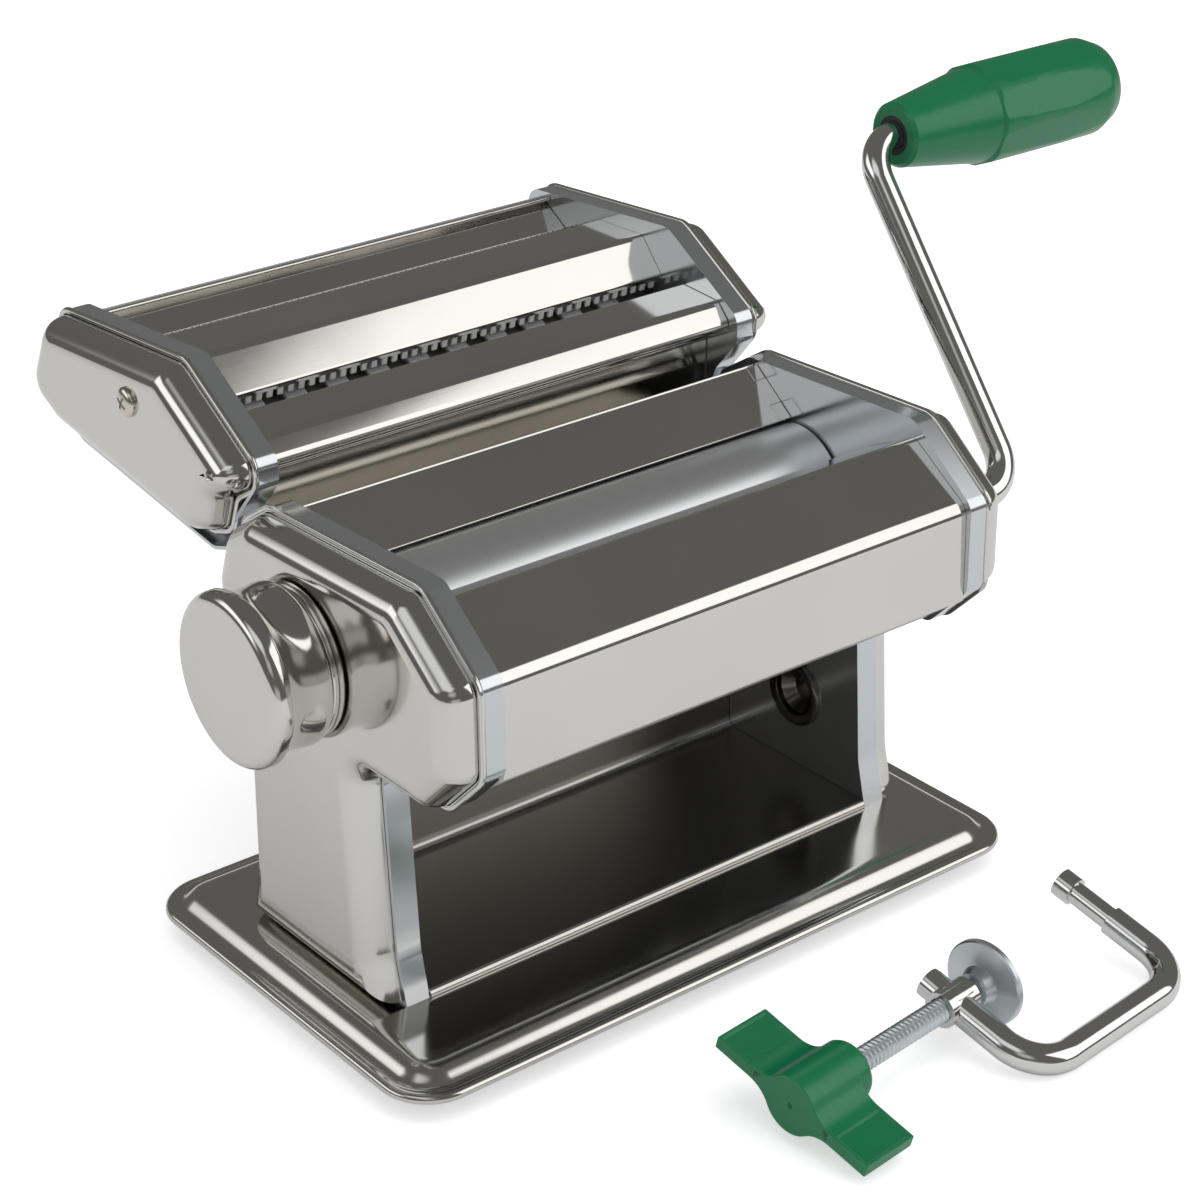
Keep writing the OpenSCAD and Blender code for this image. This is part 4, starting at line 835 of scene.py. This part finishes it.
def wing(back=-60.9, width=17.0, span=24.8, hub=8.0, leaf=1.75, fillet=9.0):
    """Moulded wing: two leaves with sunk panels that run into a round hub, with its sleeve."""
    border, slope, sunk, pip_radius, pip_depth = 1.3, 0.3, 0.5, 0.9, 0.9
    across, up = math.sqrt((hub + fillet) ** 2 - (leaf + fillet) ** 2), leaf + fillet
    lean = math.degrees(math.atan2(up, across))
    quarter = [(span, 0.0), (span, leaf), (across, leaf)]
    quarter += arc((across, up), fillet, 270, 180 + lean, 8)[1:]
    quarter += arc((0, 0), hub, lean, 90, 8)[1:]
    half = quarter + [(-y, z) for y, z in quarter[-2::-1]]
    outline = half[1:-1] + [(y, -z) for y, z in half[::-1]][1:-1]
    bm = bmesh.new()
    drawn_out(bm, outline, back, back + width)
    bmesh.ops.recalc_face_normals(bm, faces=bm.faces)
    bm.normal_update()
    panels = [f for f in bm.faces if abs(abs(f.normal.z) - 1) < 1e-3 and f.calc_area() > 1e-4]
    for face in panels:
        bmesh.ops.inset_region(bm, faces=[face], thickness=border * MM, depth=0)
        bmesh.ops.inset_region(bm, faces=[face], thickness=slope * MM, depth=-sunk * MM)
    end = next(f for f in bm.faces if f.normal.x < -0.99)
    rim = list(end.edges)
    bm.faces.remove(end)
    pip = [[bm.verts.new((x * MM, r * math.cos(a) * MM, r * math.sin(a) * MM))
            for a in round_steps(24)]
           for x, r in ((back, pip_radius), (back + pip_depth, 0.6 * pip_radius))]
    skin(bm, pip)
    bm.faces.new(pip[1])
    rim += [bm.edges.get((a, b)) for a, b in zip(pip[0], pip[0][1:] + pip[0][:1])]
    bmesh.ops.triangle_fill(bm, use_beauty=True, edges=rim)
    sleeve = turned([(0, back + 5), (hub - 0.02, back + 5), (hub - 0.02, back + 20.2),
                     (hub - 0.5, back + 21.2), (hub - 1.4, back + 22), (3.25, back + 22),
                     (3.25, back + 21), (0, back + 21)], (0, 0), 1, 72)
    extra = mesh_of("wing_sleeve", sleeve)
    bm.from_mesh(extra)
    bpy.data.meshes.remove(extra)
    bmesh.ops.transform(bm, matrix=IN_CLAMP, verts=bm.verts)
    piece = new_piece("moulded_wing", bm, "clamp_screw", GREEN, ["clamp_wing"])
    return soften(piece, 0.5)


moulded_wing = wing()


# ---- comb teeth and hopper corners ----------------------------------------------------------

def comb_teeth(name, outline, pitch, width, first, count):
    """Row of small round-ended teeth, each drawn along X from the same closed (y, z) outline."""
    bm = bmesh.new()
    for i in range(count):
        x = first + pitch * i
        drawn_out(bm, outline, x - width / 2, x + width / 2)
    return soften(new_piece(name, bm, "cutter_unit", TEETH), 0.15)


WIDE_TOOTH = in_unit([(32.9, -15.6), (33.7, -15.6), (34.2, -18.0), (33.5, -18.2)])
FINE_TOOTH = in_unit([(76.2, -12.2), (77.0, -12.6), (77.0, -14.0), (76.3, -14.0)])
comb_teeth("wide_comb_tips", WIDE_TOOTH, 3.25, 1.7, -71.5, 45)
comb_teeth("fine_comb_tips", FINE_TOOTH, 2.0, 1.0, -73.0, 74)


def hopper_corners(run=14.3, rise=11.0, width=3.86, middle=72.45, sheet=1.0):
    """Small plates that close the slope of the hopper at its two ends, with a slot between them."""
    bm = bmesh.new()
    length = math.hypot(run, rise)
    for hand in (-1, 1):
        for low, high in ((0.0, 0.3), (0.75, 1.0)):
            made = bmesh.ops.create_cube(bm, size=1.0)["verts"]
            size = (width * MM, (high - low) * length * MM, sheet * MM)
            place = (hand * middle * MM, (high + low) / 2 * length * MM, -sheet / 2 * MM)
            bmesh.ops.scale(bm, vec=size, verts=made)
            bmesh.ops.translate(bm, vec=place, verts=made)
    foot = Matrix.Translation((0, 4.2 * MM, (RIM + 112.6) * MM))
    slope = Matrix.Rotation(math.atan2(rise, run), 4, "X")
    bmesh.ops.transform(bm, verts=bm.verts, matrix=foot @ slope)
    return soften(new_piece("hopper_corners", bm, "machine", SHEET), 0.2)


hopper_corners()


# ---- floor, light and camera ------------------------------------------------------

HEART = (0, 0, 0.1)                             # middle of the machine, which the lights face


def at_angle(azimuth, elevation, distance):
    """Point about the machine at an angle from +X towards +Y and an elevation, in degrees."""
    a, e = math.radians(azimuth), math.radians(elevation)
    out = Vector((math.cos(a) * math.cos(e), math.sin(a) * math.cos(e), math.sin(e)))
    return Vector(HEART) + distance * out


def rectangle(name, left, right, front, back, material):
    """Flat sheet in the scene that isn't part of the machine."""
    mesh = bpy.data.meshes.new(name)
    corners = [(left, front, 0), (right, front, 0), (right, back, 0), (left, back, 0)]
    mesh.from_pydata(corners, [], [(0, 1, 2, 3)])
    mesh.materials.append(material)
    made = placed(name, mesh)
    return made


def soft_card(name, colour, strength, edge):
    """Glow that fades out over a share of the card's width and height at every side."""
    f = Finish(name)
    place = f.add("ShaderNodeTexCoord").out("Generated")
    sides = f.add("ShaderNodeSeparateXYZ", None, {"Vector": place})
    fade = strength
    for side in ("X", "Y"):
        across = sides.out(side)
        fade = across.between(0.0, edge) * (1 - across).between(0.0, edge) * fade
    glow = f.add("ShaderNodeEmission", None, {"Color": colour, "Strength": fade})
    through = f.add("ShaderNodeBsdfTransparent")
    shares = {0: (fade / strength).held(), 1: through.out(), 2: glow.out()}
    return f.surface(f.add("ShaderNodeMixShader", None, shares).out())


def panel(name, centre, width, height, material):
    """Glowing card that faces the machine, seen only in polished metal."""
    card = rectangle(name, -width / 2, width / 2, -height / 2, height / 2, material)
    card.rotation_euler = (Vector(HEART) - centre).to_track_quat("Z", "Y").to_euler()
    card.location = centre
    card.visible_camera = card.visible_diffuse = card.visible_shadow = False


def dark_studio(radius, colour):
    """Inside of a dark ball round the table, seen only in polished metal."""
    name = "dark_studio"
    f = Finish(name)
    glow = f.add("ShaderNodeEmission", None, {"Color": colour, "Strength": 1.0})
    bm = bmesh.new()
    bmesh.ops.create_uvsphere(bm, u_segments=48, v_segments=24, radius=radius)
    made = placed(name, mesh_of(name, bm))
    made.data.materials.append(f.surface(glow.out()))
    made.visible_camera = made.visible_diffuse = made.visible_shadow = False


def floor(left=2.2, front=0.6, far=5.0):
    """Pale matt floor, lifted towards white for the camera only, so that it keeps the shadow."""
    f = Finish("pale_floor")
    seen = f.add("ShaderNodeLightPath").out("Is Camera Ray")
    f.set("Base Color", (0.93, 0.93, 0.93))
    f.set("Roughness", 0.9)
    f.set("Specular IOR Level", 0.0)
    f.set("Emission Color", f.mixed(seen, (0, 0, 0), (1, 1, 1)))
    f.set("Emission Strength", 0.5)
    rectangle("floor", -left, far, -front, far, f.material)


def sky(strength):
    """Even light from all round, which the camera and polished metal see as white."""
    world = bpy.data.worlds.new("studio")
    bpy.context.scene.world = world
    world.use_nodes = True
    world.node_tree.nodes.clear()
    nodes = Nodes(world.node_tree)
    rays = nodes.add("ShaderNodeLightPath")
    seen = (rays.out("Is Camera Ray") + rays.out("Is Glossy Ray")).held()
    plain, white = (nodes.add("ShaderNodeBackground", None, {"Color": (1, 1, 1), "Strength": s})
                    for s in (strength, 1.0))
    mix = nodes.add("ShaderNodeMixShader", None, {0: seen, 1: plain.out(), 2: white.out()})
    nodes.add("ShaderNodeOutputWorld", None, {"Surface": mix.out()})


def lamp(name, place, facing, size=1.2, watts=4):
    """Square area lamp that polished metal doesn't show."""
    data = bpy.data.lights.new(name, "AREA")
    data.shape = "RECTANGLE"
    data.size, data.size_y = size, size
    data.energy = watts
    made = placed(name, data)
    made.location = place
    made.rotation_euler = (Vector(facing) - Vector(place)).to_track_quat("-Z", "Y").to_euler()
    made.visible_glossy = False


def camera(place, pan, tilt, roll, lens):
    """Camera at a place in metres, panned, tilted down and rolled by degrees."""
    data = bpy.data.cameras.new("camera")
    data.sensor_width = 36
    data.lens = lens
    made = placed("camera", data)
    a, e, r = math.radians(pan), math.radians(tilt), math.radians(roll)
    back = Vector((math.sin(a) * math.cos(e), -math.cos(a) * math.cos(e), math.sin(e)))
    side = Vector((math.cos(a), math.sin(a), 0))
    up = back.cross(side)
    side, up = (side * math.cos(r) + up * math.sin(r), up * math.cos(r) - side * math.sin(r))
    made.matrix_world = (Matrix.Translation(place)
                         @ Matrix((side, up, back)).transposed().to_4x4())
    bpy.context.scene.camera = made


floor()
sky(0.66)
dark_studio(4.0, (0.145, 0.142, 0.134))
SOFTBOX = soft_card("softbox", (1.0, 0.995, 0.98), 1.5, 0.07)
LEFT_BOX = soft_card("left_box", (1.0, 1.0, 1.0), 1.45, 0.3)
PALE_SCREEN = soft_card("pale_screen", (0.97, 0.99, 1.0), 0.9, 0.35)
WARM_SCREEN = soft_card("front_left_screen", (1.0, 0.99, 0.97), 0.55, 0.4)
panel("front_left_screen", at_angle(228, 27, 2.8), 2.6, 2.2, WARM_SCREEN)
panel("low_front_screen", at_angle(-118, -4, 2.6), 3.2, 1.5, WARM_SCREEN)
panel("high_left_screen", at_angle(203, 50, 2.4), 3.0, 2.0, PALE_SCREEN)
panel("front_softbox", at_angle(-50, 28.5, 1.6), 1.36, 1.44, SOFTBOX)
panel("left_softbox", at_angle(150, 27, 2.0), 3.3, 1.15, LEFT_BOX)
lamp("overhead", (0.1, -0.1, 1.3), (0, 0, 0))
lamp("front_fill", at_angle(-50, 28, 1.6), HEART)
camera((-0.41916, -0.53591, 0.42363), pan=-38.32, tilt=26.24, roll=-0.52, lens=87.3)
moulded_wing.visible_glossy = False             # its green would tint the steel beside it
bpy.context.scene.view_settings.view_transform = "Standard"
